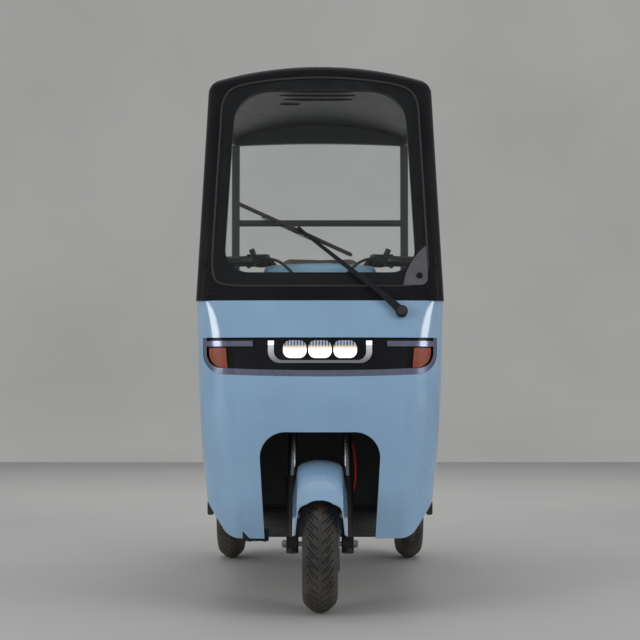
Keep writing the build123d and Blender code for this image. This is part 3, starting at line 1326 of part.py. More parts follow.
# Control cables: from each perch forward and down to the front of the handlebar cowl
with BuildPart() as control_cables:
    for side in (-1, 1):
        perch = along_bar(side, GRIP_LENGTH + SEAT_GAP + PERCH_WIDTH / 2)
        start = perch.origin + Vector(-side * 4, -PERCH_RADIUS - 12 - SEAT_GAP, -14)
        route = [
            start,
            start + Vector(-side * 4, -34, 6),
            start + Vector(-side * 34, -82, 16),
            start + Vector(-side * 82, -108, 4),
            start + Vector(-side * 122, -112, -34),
        ]
        end = Vector(route[-1].X - side * 4, BAR_COWL_FRONT - SEAT_GAP, route[-1].Z - 26)
        route.append(end + Vector(0, -28, 0))
        route.append(end)
        with BuildLine() as run:
            FilletPolyline(*route, radius=bend_radii(route))
        with BuildSketch(Plane(origin=start, z_dir=route[1] - start)):
            Circle(CABLE_RADIUS)
        sweep(path=run.wires()[0])
save(control_cables.part, "control_cables")

# Brake hose: down the fork from the crown to the caliper, clipped to the leg
with BuildPart() as brake_hose:
    hose_x = FORK_LEG_X + STANCHION_RADIUS + HOSE_RADIUS + 8
    route = [
        on_axis(CROWN_AT - 4, -FORK_OFFSET + 34, hose_x - 26),
        on_axis(CROWN_AT - 44, -FORK_OFFSET + 34, hose_x - 26),
        on_axis(CROWN_AT - 96, -FORK_OFFSET + 26, hose_x - 4),
        on_axis(LOWER_LEG_TOP + 20, -FORK_OFFSET + 26, hose_x + 2),
        on_axis(LOWER_LEG_TOP - 40, -FORK_OFFSET + 40, hose_x - 6),
        on_axis(CALIPER_W[1] + 40, -FORK_OFFSET + 46, 0.5 * (CALIPER_X[0] + CALIPER_X[1]) + 12),
        on_axis(CALIPER_W[1] + SEAT_GAP, -FORK_OFFSET + 46, 0.5 * (CALIPER_X[0] + CALIPER_X[1]) + 12),
    ]
    with BuildLine() as run:
        FilletPolyline(*route, radius=bend_radii(route))
    with BuildSketch(Plane(origin=route[0], z_dir=route[1] - route[0])):
        Circle(HOSE_RADIUS)
    sweep(path=run.wires()[0])
save(brake_hose.part, "brake_hose")

# Wheels: a tyre, a five-spoke rim with its hub, and a disc in front or brake drums behind


def tyre(centre, width, label):
    """A tyre turned about the axle: a round crown, bulged walls and beads on the rim."""
    half = width / 2
    seat = RIM_RADIUS + SEAT_GAP
    profile_plane = Plane(origin=centre, x_dir=(1, 0, 0), z_dir=(0, -1, 0))
    with BuildPart() as body:
        with BuildSketch(profile_plane):
            with BuildLine():
                ThreePointArc((-half * 0.62, TYRE_RADIUS - 15), (0, TYRE_RADIUS), (half * 0.62, TYRE_RADIUS - 15))
                ThreePointArc((half * 0.62, TYRE_RADIUS - 15), (half, TYRE_RADIUS - 42), (half * 0.74, seat))
                Line((half * 0.74, seat), (-half * 0.74, seat))
                ThreePointArc((-half * 0.74, seat), (-half, TYRE_RADIUS - 42), (-half * 0.62, TYRE_RADIUS - 15))
            make_face()
        revolve(axis=Axis(centre, (1, 0, 0)))
    save(body.part, label)


def rim(centre, width, hub_low, hub_high, bore, drum, side, label):
    """A cast rim: a stepped barrel, five tapered spokes and a bored hub, with a brake drum where given."""
    half = width / 2
    profile_plane = Plane(origin=centre, x_dir=(1, 0, 0), z_dir=(0, -1, 0))
    spoke_x = side * (half - 24) if drum else 0
    with BuildPart() as body:
        with BuildSketch(profile_plane):
            with BuildLine():
                Polyline(
                    (-half, RIM_RADIUS), (-half, RIM_RADIUS - 10), (-half + 12, RIM_RADIUS - 16),
                    (half - 12, RIM_RADIUS - 16), (half, RIM_RADIUS - 10), (half, RIM_RADIUS), close=True,
                )
            make_face()
        revolve(axis=Axis(centre, (1, 0, 0)))
        face = Plane(origin=centre, x_dir=(0, 1, 0), z_dir=(1, 0, 0))
        with BuildSketch(face.offset(hub_low)):
            Circle(HUB_RADIUS)
        extrude(amount=hub_high - hub_low)
        with BuildSketch(face.offset(spoke_x - SPOKE_THICKNESS / 2)):
            for i in range(SPOKE_COUNT):
                with BuildLine(mode=Mode.PRIVATE) as spoke_edges:
                    Polyline(
                        (HUB_RADIUS - 8, -SPOKE_ROOT / 2), (RIM_RADIUS - 12, -SPOKE_TIP / 2),
                        (RIM_RADIUS - 12, SPOKE_TIP / 2), (HUB_RADIUS - 8, SPOKE_ROOT / 2), close=True,
                    )
                with Locations(Location((0, 0), 90 + i * 360 / SPOKE_COUNT)):
                    add(make_face(spoke_edges.edges(), mode=Mode.PRIVATE))
        extrude(amount=SPOKE_THICKNESS)
        if drum:
            with BuildSketch(face.offset(drum[0])):
                Circle(DRUM_RADIUS)
            extrude(amount=drum[1] - drum[0])
            with BuildSketch(face.offset(drum[0] if side > 0 else drum[1])):
                Circle(DRUM_RADIUS - 6)
            extrude(amount=side * DRUM_HOLLOW, mode=Mode.SUBTRACT)
        with BuildSketch(face.offset(hub_low - 1)):
            Circle(bore + RUNNING_GAP)
        extrude(amount=hub_high - hub_low + 2, mode=Mode.SUBTRACT)
    save(body.part, label)


tyre(FRONT_AXLE, FRONT_TYRE_WIDTH, "front_tyre")
rim(FRONT_AXLE, FRONT_RIM_WIDTH, -FRONT_HUB_HALF, FRONT_HUB_HALF, AXLE_RADIUS, None, 1, "front_rim")
for side, word in ((-1, "left"), (1, "right")):
    centre = (side * REAR_TRACK / 2, REAR_AXLE_Y, TYRE_RADIUS)
    inner = side * REAR_HUB_INNER - centre[0]
    outer = side * REAR_HUB_OUTER - centre[0]
    drum_end = side * (REAR_HUB_INNER + DRUM_LENGTH) - centre[0]
    tyre(centre, REAR_TYRE_WIDTH, f"rear_tyre_{word}")
    rim(
        centre, REAR_RIM_WIDTH, min(inner, outer), max(inner, outer), STUB_RADIUS,
        (min(inner, drum_end), max(inner, drum_end)), side, f"rear_rim_{word}",
    )

with BuildPart() as brake_disc:
    with BuildSketch(AXLE_PLANE.offset(DISC_X)):
        Circle(DISC_RADIUS)
        Circle(HUB_RADIUS - 8, mode=Mode.SUBTRACT)
        with PolarLocations(DISC_RADIUS - 34, 6, 15):
            Circle(9, mode=Mode.SUBTRACT)
        with PolarLocations(DISC_RADIUS - 9, 15):
            Circle(3.5, mode=Mode.SUBTRACT)
    extrude(amount=DISC_THICKNESS)
save(brake_disc.part, "brake_disc")

# Wiper: an arm on a pivot under the glass and a blade with its holder, lying on the windscreen
WIPER_NORMAL = screen_plane().z_dir


def on_screen(x, z, stand):
    """A point that stands off the windscreen's outer face at a place across and up it."""
    return screen_plane(-stand).origin + Vector(x, 0, 0) + screen_plane().y_dir * up_screen(z)


PIVOT_FACE = on_screen(PIVOT_X, PIVOT_Z, PIVOT_STAND)


def strip(start, end, ends, thickness):
    """A tapered flat bar between two points off the screen, with round ends and its own thickness."""
    run = end - start
    plane = Plane(origin=start, x_dir=run.normalized(), z_dir=WIPER_NORMAL)
    with BuildPart() as bar:
        with BuildSketch(plane):
            Circle(ends[0] / 2)
            with Locations((run.length, 0)):
                Circle(ends[1] / 2)
            make_hull()
        extrude(amount=thickness)
    return bar.part


with BuildPart() as wiper_arm:
    pivot_plane = Plane(origin=PIVOT_FACE, x_dir=(1, 0, 0), z_dir=WIPER_NORMAL)
    with BuildSketch(pivot_plane):
        Circle(17)
    extrude(amount=20)
    fillet(wiper_arm.edges(), 3)
    knuckle = on_screen(PIVOT_X + KNUCKLE_REACH[0], PIVOT_Z + KNUCKLE_REACH[1], PIVOT_STAND + 4)
    add(strip(PIVOT_FACE + WIPER_NORMAL * 4, knuckle, (24, 15), 12))
    middle = on_screen(WIPER_TOP_X, WIPER_TOP_Z, ARM_STAND)
    add(strip(knuckle, middle, (15, 8), 7))
    add(strip(middle - WIPER_NORMAL * (ARM_STAND - BLADE_STAND), middle + (knuckle - middle).normalized() * 22, (12, 9), 9))
save(wiper_arm.part, "wiper_arm")

with BuildPart() as wiper_blade:
    ends = [on_screen(x, z, 0.7) for x, z in BLADE_ENDS]
    run = ends[1] - ends[0]
    blade_plane = Plane(origin=ends[0], x_dir=run.normalized(), z_dir=WIPER_NORMAL)
    with BuildSketch(blade_plane):
        with Locations((run.length / 2, 0)):
            Rectangle(run.length, 2)
    extrude(amount=6)
    with BuildSketch(blade_plane.offset(5)):
        with Locations((run.length / 2, 0)):
            RectangleRounded(run.length - 6, 9, 2)
    extrude(amount=BLADE_STAND - 6.3)
save(wiper_blade.part, "wiper_blade")

# Wiper pivot: a boss through the top of the cowl that carries the arm
with BuildPart() as wiper_pivot:
    foot_plane = Plane(origin=PIVOT_FACE, x_dir=(1, 0, 0), z_dir=-WIPER_NORMAL)
    with BuildSketch(foot_plane.offset(SEAT_GAP)):
        Circle(12)
    extrude(amount=60)
    add(cowl_solid(-SEAT_GAP, COWL_BACK), mode=Mode.SUBTRACT)
save(wiper_pivot.part, "wiper_pivot")
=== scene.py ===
# Dresses the covered electric tricycle: finishes for its solids, and the pieces that only show, such as
# tyre treads, seat covers, bolts, seals, lamp rims and the roof's ribs. Metres, in the solids' own frame:
# X is to the right seen from the front, the nose points to -Y and Z is up.
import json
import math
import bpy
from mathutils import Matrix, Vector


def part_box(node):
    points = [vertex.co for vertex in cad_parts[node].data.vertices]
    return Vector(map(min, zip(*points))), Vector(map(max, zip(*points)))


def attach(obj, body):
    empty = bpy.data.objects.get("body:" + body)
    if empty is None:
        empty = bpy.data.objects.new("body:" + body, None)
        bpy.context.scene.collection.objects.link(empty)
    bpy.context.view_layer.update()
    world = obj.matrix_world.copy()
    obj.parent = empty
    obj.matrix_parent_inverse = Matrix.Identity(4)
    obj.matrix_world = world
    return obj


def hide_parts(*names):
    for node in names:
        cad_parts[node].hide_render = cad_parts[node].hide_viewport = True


bl_info = {
    "name": "Electric tricycle dresser",
    "version": (1, 0, 0),
    "blender": (4, 5, 0),
    "location": "3D View > Sidebar > Tricycle",
    "description": "Finishes and adds the visible detail of a covered electric tricycle",
    "category": "Object",
}

import bmesh
import bpy
from mathutils import Matrix, Vector

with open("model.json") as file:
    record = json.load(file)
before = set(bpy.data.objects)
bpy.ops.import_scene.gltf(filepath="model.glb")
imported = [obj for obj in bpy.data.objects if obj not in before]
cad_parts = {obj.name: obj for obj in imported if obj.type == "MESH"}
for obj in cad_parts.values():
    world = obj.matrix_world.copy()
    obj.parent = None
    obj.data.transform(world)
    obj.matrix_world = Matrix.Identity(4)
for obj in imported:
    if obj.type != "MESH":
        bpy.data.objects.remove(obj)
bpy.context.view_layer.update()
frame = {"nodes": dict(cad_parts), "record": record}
NODES = frame["nodes"]
JOINTS = {joint["name"]: joint for joint in frame["record"]["behaviour"]["joints"]}

# Places worked out from the solids and their joints
AXLE = Vector(JOINTS["front_wheel_spin"]["pos_m"])
PIVOT_POINT = Vector(JOINTS["wiper_sweep"]["pos_m"])
SCREEN_NORMAL = Vector(JOINTS["wiper_sweep"]["axis"]).normalized()
SCREEN_UP = Vector((1, 0, 0)).cross(SCREEN_NORMAL) * -1
WHEEL_CENTRES = {
    "front_tyre": AXLE, "rear_tyre_left": Vector(JOINTS["rear_wheel_left_spin"]["pos_m"]),
    "rear_tyre_right": Vector(JOINTS["rear_wheel_right_spin"]["pos_m"])
}
WHEEL_BODIES = {
    "front_tyre": "front_wheel", "rear_tyre_left": "rear_wheel_left", "rear_tyre_right": "rear_wheel_right",
}
TYRE_RADIUS = 0.2
SIDES = ((-1, "left"), (1, "right"))

# The photograph's eye: where it stands, how far it looks up, and its lens
EYE = Vector((0, -5.23, 0.694))
EYE_TILT = math.radians(2.06)
EYE_LENS = 86.06
EYE_SENSOR = 36
EYE_PIXELS = 1530
EYE_CENTRE = 320

# The finishes by name, filled in by make_materials
MATERIALS = {}


def srgb(red, green, blue):
    """A colour given as it looks on a screen, 0 to 255, as Blender's linear numbers."""
    linear = []
    for value in (red, green, blue):
        share = value / 255
        linear.append(share / 12.92 if share <= 0.04045 else ((share + 0.055) / 1.055) ** 2.4)
    return (*linear, 1.0)


class TrikeColours(bpy.types.PropertyGroup):
    """The colours and surface strengths that a user would change."""

    paint: bpy.props.FloatVectorProperty(
        name="Body paint", description="Colour of the blue panels", subtype="COLOR", size=4, min=0, max=1,
        default=srgb(125, 159, 189)
    )
    leather: bpy.props.FloatVectorProperty(
        name="Seat cover", description="Colour of the seats' leathercloth", subtype="COLOR", size=4, min=0,
        max=1, default=srgb(88, 70, 60)
    )
    black: bpy.props.FloatVectorProperty(
        name="Black parts", description="Colour of the black frame and roof", subtype="COLOR", size=4,
        min=0, max=1, default=srgb(20, 21, 25)
    )
    glass: bpy.props.FloatVectorProperty(
        name="Glass tint", description="Tint of the windscreen", subtype="COLOR", size=4, min=0, max=1,
        default=srgb(246, 250, 248)
    )
    dust: bpy.props.FloatProperty(
        name="Dust", description="How much dust lies on the lower parts", default=0.25, min=0, max=1,
        subtype="FACTOR"
    )
    lamp_glow: bpy.props.FloatProperty(
        name="Lamp glow", description="Strength of the lit lamps", default=3.0, min=0, max=20
    )


class TrikeSizes(bpy.types.PropertyGroup):
    """The sizes that a user would change."""

    tread_depth: bpy.props.FloatProperty(
        name="Tread depth", description="Depth of the tyre's grooves", default=0.0045, min=0.001, max=0.008,
        unit="LENGTH"
    )
    seam_depth: bpy.props.FloatProperty(
        name="Seam depth", description="How far the seats' sewn lines sink", default=0.006, min=0.001,
        max=0.02, unit="LENGTH"
    )
    bolt_radius: bpy.props.FloatProperty(
        name="Plug radius", description="Radius of the round plugs in the windscreen frame", default=0.008,
        min=0.003, max=0.02, unit="LENGTH"
    )


# Small helpers for objects and meshes


def deselect():
    """Leave edit mode and deselect everything."""
    if bpy.context.object and bpy.context.object.mode != "OBJECT":
        bpy.ops.object.mode_set(mode="OBJECT")
    bpy.ops.object.select_all(action="DESELECT")


def activate(piece):
    """Make one piece the only selected and the active object."""
    deselect()
    piece.select_set(True)
    bpy.context.view_layer.objects.active = piece
    return piece


def settle(piece):
    """Put the piece's place into its mesh, so that its object sits at the origin, unturned and unscaled."""
    activate(piece)
    bpy.ops.object.transform_apply(location=True, rotation=True, scale=True)
    return piece


def smooth(piece, angle):
    """Shade the piece smooth, with edges sharper than an angle kept."""
    activate(piece)
    bpy.ops.object.shade_smooth_by_angle(angle=math.radians(angle))
    return piece


def add_modifier(piece, kind, **values):
    """Add a modifier with its values, and apply it."""
    activate(piece)
    modifier = piece.modifiers.new(kind.title(), kind)
    for key, value in values.items():
        setattr(modifier, key, value)
    bpy.ops.object.modifier_apply(modifier=modifier.name)
    return piece


def dress(piece, name, body, slot, angle=30):
    """Name a finished piece, give it the finish of its record slot, and let it ride on its body."""
    settle(piece)
    smooth(piece, angle)
    piece.name = name
    piece.data.name = name
    piece.data.materials.clear()
    piece.data.materials.append(MATERIALS[slot])
    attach(piece, body)
    return piece


def new_object(name, data):
    """A new object in the scene, around its mesh, curve, lamp or camera."""
    made = bpy.data.objects.new(name, data)
    bpy.context.collection.objects.link(made)
    return made


def join(pieces):
    """Join several meshes into the first one."""
    deselect()
    for piece in pieces:
        piece.select_set(True)
    bpy.context.view_layer.objects.active = pieces[0]
    bpy.ops.object.join()
    return pieces[0]


def turned(direction):
    """Euler angles that turn a primitive's Z axis to a direction."""
    return Vector(direction).to_track_quat("Z", "Y").to_euler()


def disc_stack(place, direction, steps, sides=24):
    """A turned knob, bolt or boss: rings of (radius, height) along a direction, closed at both ends."""
    bpy.ops.mesh.primitive_circle_add(
        vertices=sides, radius=steps[0][0], fill_type="NGON", location=(0, 0, 0)
    )
    piece = bpy.context.object
    bpy.ops.object.mode_set(mode="EDIT")
    bpy.ops.mesh.select_all(action="SELECT")
    radius, height = steps[0]
    bpy.ops.transform.translate(value=(0, 0, height))
    for next_radius, next_height in steps[1:]:
        bpy.ops.mesh.extrude_region_move(TRANSFORM_OT_translate={"value": (0, 0, next_height - height)})
        share = next_radius / radius
        bpy.ops.transform.resize(value=(share, share, 1), center_override=(0, 0, 0))
        radius, height = next_radius, next_height
    bpy.ops.mesh.select_all(action="SELECT")
    bpy.ops.mesh.normals_make_consistent(inside=False)
    bpy.ops.object.mode_set(mode="OBJECT")
    piece.rotation_euler = turned(direction)
    piece.location = place
    return settle(piece)


def tube_along(points, radius, closed=False):
    """A round tube that runs smoothly through given points."""
    curve = bpy.data.curves.new("run", "CURVE")
    curve.dimensions = "3D"
    spline = curve.splines.new("NURBS")
    spline.points.add(len(points) - 1)
    for point, place in zip(spline.points, points):
        point.co = (*place, 1)
    spline.order_u = 3
    spline.use_endpoint_u = not closed
    spline.use_cyclic_u = closed
    spline.resolution_u = 8
    curve.bevel_depth = radius
    curve.bevel_resolution = 2
    curve.use_fill_caps = True
    activate(new_object("run", curve))
    bpy.ops.object.convert(target="MESH")
    return bpy.context.object


def strip(points, out, section, taper=1.0):
    """A strip with a section of (sideways, outwards) pairs, run through points and closed at its ends."""
    mesh = bmesh.new()
    loops = []
    for index, place in enumerate(points):
        ahead = points[min(index + 1, len(points) - 1)] - points[max(index - 1, 0)]
        side = out.cross(ahead).normalized()
        narrow = taper if index in (0, len(points) - 1) else 1.0
        loops.append(
            [mesh.verts.new(place + side * (across * narrow) + out * rise) for across, rise in section]
        )
    for near, far in zip(loops, loops[1:]):
        for index in range(len(section)):
            other = (index + 1) % len(section)
            mesh.faces.new((near[index], near[other], far[other], far[index]))
    mesh.faces.new(loops[0])
    mesh.faces.new(loops[-1])
    bmesh.ops.recalc_face_normals(mesh, faces=mesh.faces)
    data = bpy.data.meshes.new("strip")
    mesh.to_mesh(data)
    mesh.free()
    return new_object("strip", data)


def rounded_outline(width, height, corner, steps=6):
    """Places (across, up) round a rectangle with rounded corners, about its middle."""
    places = []
    for quarter, (side, level) in enumerate(((1, 1), (-1, 1), (-1, -1), (1, -1))):
        for step in range(steps + 1):
            angle = (quarter + step / steps) * math.pi / 2
            across = side * (width / 2 - corner) + corner * math.cos(angle)
            places.append((across, level * (height / 2 - corner) + corner * math.sin(angle)))
    return places


def plate(outline, thickness, bevel=0.0008):
    """A flat plate: its outline is filled, extruded along a vector, and its edges are softened."""
    data = bpy.data.meshes.new("plate")
    data.from_pydata(outline, [], [list(range(len(outline)))])
    piece = new_object("plate", data)
    activate(piece)
    bpy.ops.object.mode_set(mode="EDIT")
    bpy.ops.mesh.select_all(action="SELECT")
    bpy.ops.mesh.extrude_region_move(TRANSFORM_OT_translate={"value": thickness})
    bpy.ops.mesh.select_all(action="SELECT")
    bpy.ops.mesh.normals_make_consistent(inside=False)
    bpy.ops.object.mode_set(mode="OBJECT")
    return add_modifier(piece, "BEVEL", width=bevel, segments=2, limit_method="ANGLE")


def rounded_box(size, place, bevel, segments=3, rotation=(0, 0, 0)):
    """A box with rounded edges, at its size and place."""
    bpy.ops.mesh.primitive_cube_add(size=1, location=(0, 0, 0))
    piece = bpy.context.object
    piece.scale = size
    settle(piece)
    bpy.ops.object.mode_set(mode="EDIT")
    bpy.ops.mesh.select_all(action="SELECT")
    bpy.ops.mesh.bevel(offset=bevel, segments=segments, affect="EDGES")
    bpy.ops.object.mode_set(mode="OBJECT")
    piece.rotation_euler = rotation
    piece.location = place
    return settle(piece)


# Shader effects that several finishes share, each built once


def new_group(name, inputs, outputs):
    """A shader node group with named sockets, given as (name, kind, default)."""
    group = bpy.data.node_groups.new(name, "ShaderNodeTree")
    for label, kind, default in inputs:
        socket = group.interface.new_socket(label, in_out="INPUT", socket_type=kind)
        if default is not None:
            socket.default_value = default
    for label, kind in outputs:
        group.interface.new_socket(label, in_out="OUTPUT", socket_type=kind)
    entry = group.nodes.new("NodeGroupInput")
    leave = group.nodes.new("NodeGroupOutput")
    return group, entry, leave


def node(tree, kind, settings=None, **inputs):
    """Add a node, set its properties, and set or link its inputs by name, or by number as i0, i1."""
    made = tree.nodes.new(kind)
    for key, value in (settings or {}).items():
        setattr(made, key, value)
    for key, value in inputs.items():
        numbered = key[0] == "i" and key[1:].isdigit()
        socket = made.inputs[int(key[1:]) if numbered else key.replace("_", " ")]
        if isinstance(value, bpy.types.NodeSocket):
            tree.links.new(value, socket)
        else:
            socket.default_value = value
    return made


def math_node(tree, operation, first, second=None, clamp=False):
    """One calculation on one or two values, as a socket."""
    values = {"i0": first}
    if second is not None:
        values["i1"] = second
    return node(tree, "ShaderNodeMath", {"operation": operation, "use_clamp": clamp}, **values).outputs[0]


def times(tree, first, second, clamp=False):
    """Two values multiplied, as a socket."""
    return math_node(tree, "MULTIPLY", first, second, clamp)


def plus(tree, first, second, clamp=False):
    """Two values added, as a socket."""
    return math_node(tree, "ADD", first, second, clamp)


def mix_colour(tree, factor, first, second, blend="MIX"):
    """Two colours mixed by a factor, as a socket."""
    made = tree.nodes.new("ShaderNodeMix")
    made.data_type = "RGBA"
    made.blend_type = blend
    for index, value in ((0, factor), (6, first), (7, second)):
        if isinstance(value, bpy.types.NodeSocket):
            tree.links.new(value, made.inputs[index])
        else:
            made.inputs[index].default_value = value
    return made.outputs[2]


def spread(tree, value, low, high, start=0.0, end=1.0):
    """A value stretched from one range to another and clamped, as a socket."""
    made = node(tree, "ShaderNodeMapRange", {"clamp": True}, Value=value)
    for index, number in ((1, low), (2, high), (3, start), (4, end)):
        made.inputs[index].default_value = number
    return made.outputs[0]


def noise(tree, where, scale, detail=2.0, roughness=0.5):
    """Seamless noise read at a place, as a socket from 0 to 1."""
    return node(
        tree, "ShaderNodeTexNoise", Vector=where, Scale=scale, Detail=detail, Roughness=roughness
    ).outputs["Fac"]


def place_socket(tree):
    """The surface point in the piece's own metres."""
    return node(tree, "ShaderNodeTexCoord").outputs["Object"]


def make_dust_group():
    """Dust: more of it low down and on faces that look up, broken by soft patches."""
    group, entry, leave = new_group(
        "Dust layer",
        [
            ("Color", "NodeSocketColor", None), ("Dust Color", "NodeSocketColor", srgb(138, 128, 114)),
            ("Amount", "NodeSocketFloat", 0.3), ("Low", "NodeSocketFloat", 0.05),
            ("High", "NodeSocketFloat", 0.7)
        ],
        [("Color", "NodeSocketColor"), ("Mask", "NodeSocketFloat")]
    )
    where = place_socket(group)
    height = node(group, "ShaderNodeSeparateXYZ", Vector=where).outputs["Z"]
    low_share = node(group, "ShaderNodeMapRange", {"clamp": True}, Value=height)
    group.links.new(entry.outputs["Low"], low_share.inputs[1])
    group.links.new(entry.outputs["High"], low_share.inputs[2])
    low_share.inputs[3].default_value = 1
    low_share.inputs[4].default_value = 0
    facing = node(group, "ShaderNodeNewGeometry").outputs["Normal"]
    upward = spread(group, node(group, "ShaderNodeSeparateXYZ", Vector=facing).outputs["Z"], 0.1, 0.9)
    patches = spread(group, noise(group, where, 9, 4, 0.6), 0.35, 0.7)
    specks = spread(group, noise(group, where, 160, 2, 0.6), 0.5, 0.68)
    lay = plus(group, times(group, low_share.outputs[0], 0.7), times(group, upward, 0.35))
    broken = times(group, lay, plus(group, times(group, patches, 0.7), times(group, specks, 0.3)))
    mask = times(group, broken, entry.outputs["Amount"], clamp=True)
    group.links.new(
        mix_colour(group, mask, entry.outputs["Color"], entry.outputs["Dust Color"]), leave.inputs["Color"]
    )
    group.links.new(mask, leave.inputs["Mask"])
    return group


def make_wear_group():
    """Edge wear: the rounded normal differs from the flat one near an edge, and noise breaks it up."""
    group, entry, leave = new_group(
        "Edge wear", [("Width", "NodeSocketFloat", 0.003), ("Amount", "NodeSocketFloat", 0.5)],
        [("Mask", "NodeSocketFloat")]
    )
    flat = node(group, "ShaderNodeNewGeometry").outputs["Normal"]
    rounded = node(group, "ShaderNodeBevel", {"samples": 3}, Radius=entry.outputs["Width"]).outputs[0]
    alike = node(
        group, "ShaderNodeVectorMath", {"operation": "DOT_PRODUCT"}, i0=flat, i1=rounded
    ).outputs["Value"]
    edge = spread(group, alike, 0.86, 0.995, 1.0, 0.0)
    chips = spread(group, noise(group, place_socket(group), 55, 4, 0.65), 0.42, 0.62)
    mask = times(group, times(group, edge, chips), entry.outputs["Amount"], clamp=True)
    group.links.new(mask, leave.inputs["Mask"])
    return group


def make_grain_group():
    """Moulded grain: fine pebbles over a faint long unevenness, as one height."""
    group, entry, leave = new_group(
        "Moulded grain", [("Scale", "NodeSocketFloat", 900.0), ("Unevenness", "NodeSocketFloat", 0.3)],
        [("Height", "NodeSocketFloat"), ("Variation", "NodeSocketFloat")]
    )
    where = place_socket(group)
    pebbles = node(
        group, "ShaderNodeTexVoronoi", {"feature": "SMOOTH_F1"}, Vector=where, Scale=entry.outputs["Scale"]
    )
    waves = noise(group, where, 14, 3, 0.5)
    tall = plus(group, pebbles.outputs["Distance"], times(group, waves, entry.outputs["Unevenness"]))
    group.links.new(tall, leave.inputs["Height"])
    group.links.new(spread(group, noise(group, where, 40, 5, 0.6), 0.3, 0.7), leave.inputs["Variation"])
    return group


def make_leather_group():
    """Leathercloth: creased cells and pores, painted shade in the creases, and a colour lighter where worn.
    """
    group, entry, leave = new_group(
        "Leathercloth", [("Color", "NodeSocketColor", None), ("Scale", "NodeSocketFloat", 330.0)],
        [("Color", "NodeSocketColor"), ("Height", "NodeSocketFloat"), ("Worn", "NodeSocketFloat")]
    )
    where = place_socket(group)
    bend = node(group, "ShaderNodeTexNoise", Vector=where, Scale=60.0, Detail=3.0)
    shift = node(
        group, "ShaderNodeVectorMath", {"operation": "SCALE"}, i0=bend.outputs["Color"], Scale=0.006
    ).outputs[0]
    bent = node(group, "ShaderNodeVectorMath", {"operation": "ADD"}, i0=where, i1=shift).outputs[0]
    cells = node(
        group, "ShaderNodeTexVoronoi", {"feature": "DISTANCE_TO_EDGE"}, Vector=bent,
        Scale=entry.outputs["Scale"]
    ).outputs["Distance"]
    creases = spread(group, cells, 0.0, 0.12)
    pores = noise(group, where, 1400, 2, 0.5)
    tall = plus(group, creases, times(group, pores, 0.25))
    worn = spread(group, noise(group, where, 7, 4, 0.55), 0.42, 0.66)
    # Painted shade: the colour is darkened towards a dark brown in the creases of the grain
    dark = mix_colour(group, 0.35, entry.outputs["Color"], srgb(38, 28, 24))
    tone = mix_colour(group, creases, dark, entry.outputs["Color"])
    light = mix_colour(group, times(group, worn, 0.3), tone, srgb(150, 124, 106))
    group.links.new(light, leave.inputs["Color"])
    group.links.new(tall, leave.inputs["Height"])
    group.links.new(worn, leave.inputs["Worn"])
    return group


def make_cast_group():
    """Cast and turned metal: fine random pits with a cloudy tone."""
    group, entry, leave = new_group(
        "Cast skin", [("Scale", "NodeSocketFloat", 420.0)],
        [("Height", "NodeSocketFloat"), ("Tone", "NodeSocketFloat")]
    )
    where = place_socket(group)
    group.links.new(noise(group, where, entry.outputs["Scale"], 4, 0.6), leave.inputs["Height"])
    group.links.new(spread(group, noise(group, where, 22, 5, 0.62), 0.3, 0.7), leave.inputs["Tone"])
    return group


GROUPS = {}


def group_node(tree, name, **inputs):
    """Place one of the shared effects in a tree."""
    makers = {
        "dust": make_dust_group, "wear": make_wear_group, "grain": make_grain_group,
        "leather": make_leather_group, "cast": make_cast_group,
    }
    if name not in GROUPS:
        GROUPS[name] = makers[name]()
    return node(tree, "ShaderNodeGroup", {"node_tree": GROUPS[name]}, **inputs)


# Finishes


def start_material(name):
    """A new material with its tree and its main shader."""
    material = bpy.data.materials.new(name)
    material.use_nodes = True
    tree = material.node_tree
    return material, tree, tree.nodes["Principled BSDF"]


def set_shader(shader, **values):
    """Set or link a shader's own sockets by name."""
    for key, value in values.items():
        socket = shader.inputs[key.replace("_", " ")]
        if isinstance(value, bpy.types.NodeSocket):
            shader.id_data.links.new(value, socket)
        else:
            socket.default_value = value


def bump(tree, shader, height, strength, distance):
    """Feed a height to the shader's normal through a Bump node."""
    made = node(tree, "ShaderNodeBump", Height=height, Strength=strength, Distance=distance)
    set_shader(shader, Normal=made.outputs["Normal"])


def painted(name, colour, chip, roughness=0.22, coat=1.0, dust=0.3, wear=0.5, peel=0.12, gloss=0.5):
    """Sprayed paint: orange peel, chipped edges, a cloudy tone and dust that dulls the gloss."""
    material, tree, shader = start_material(name)
    where = place_socket(tree)
    cloud = spread(tree, noise(tree, where, 5, 3, 0.5), 0.3, 0.7)
    pale = tuple(min(1, channel * 1.12 + 0.004) for channel in colour[:3]) + (1,)
    tone = mix_colour(tree, cloud, colour, pale)
    edges = group_node(tree, "wear", Width=0.0025, Amount=wear)
    chipped = mix_colour(tree, edges.outputs["Mask"], tone, chip)
    dusty = group_node(tree, "dust", Color=chipped, Amount=dust)
    set_shader(shader, Base_Color=dusty.outputs["Color"])
    dull = plus(tree, times(tree, dusty.outputs["Mask"], 0.5), times(tree, edges.outputs["Mask"], 0.25))
    fine = spread(tree, noise(tree, where, 30, 5, 0.6), 0.3, 0.7, roughness - 0.04, roughness + 0.05)
    set_shader(
        shader, Roughness=plus(tree, fine, dull, clamp=True),
        Coat_Weight=spread(tree, dusty.outputs["Mask"], 0, 0.5, coat, 0), Coat_Roughness=0.06, IOR=1.5,
        Specular_IOR_Level=gloss
    )
    bump(tree, shader, noise(tree, where, 260, 2, 0.5), peel, 0.0006)
    return material


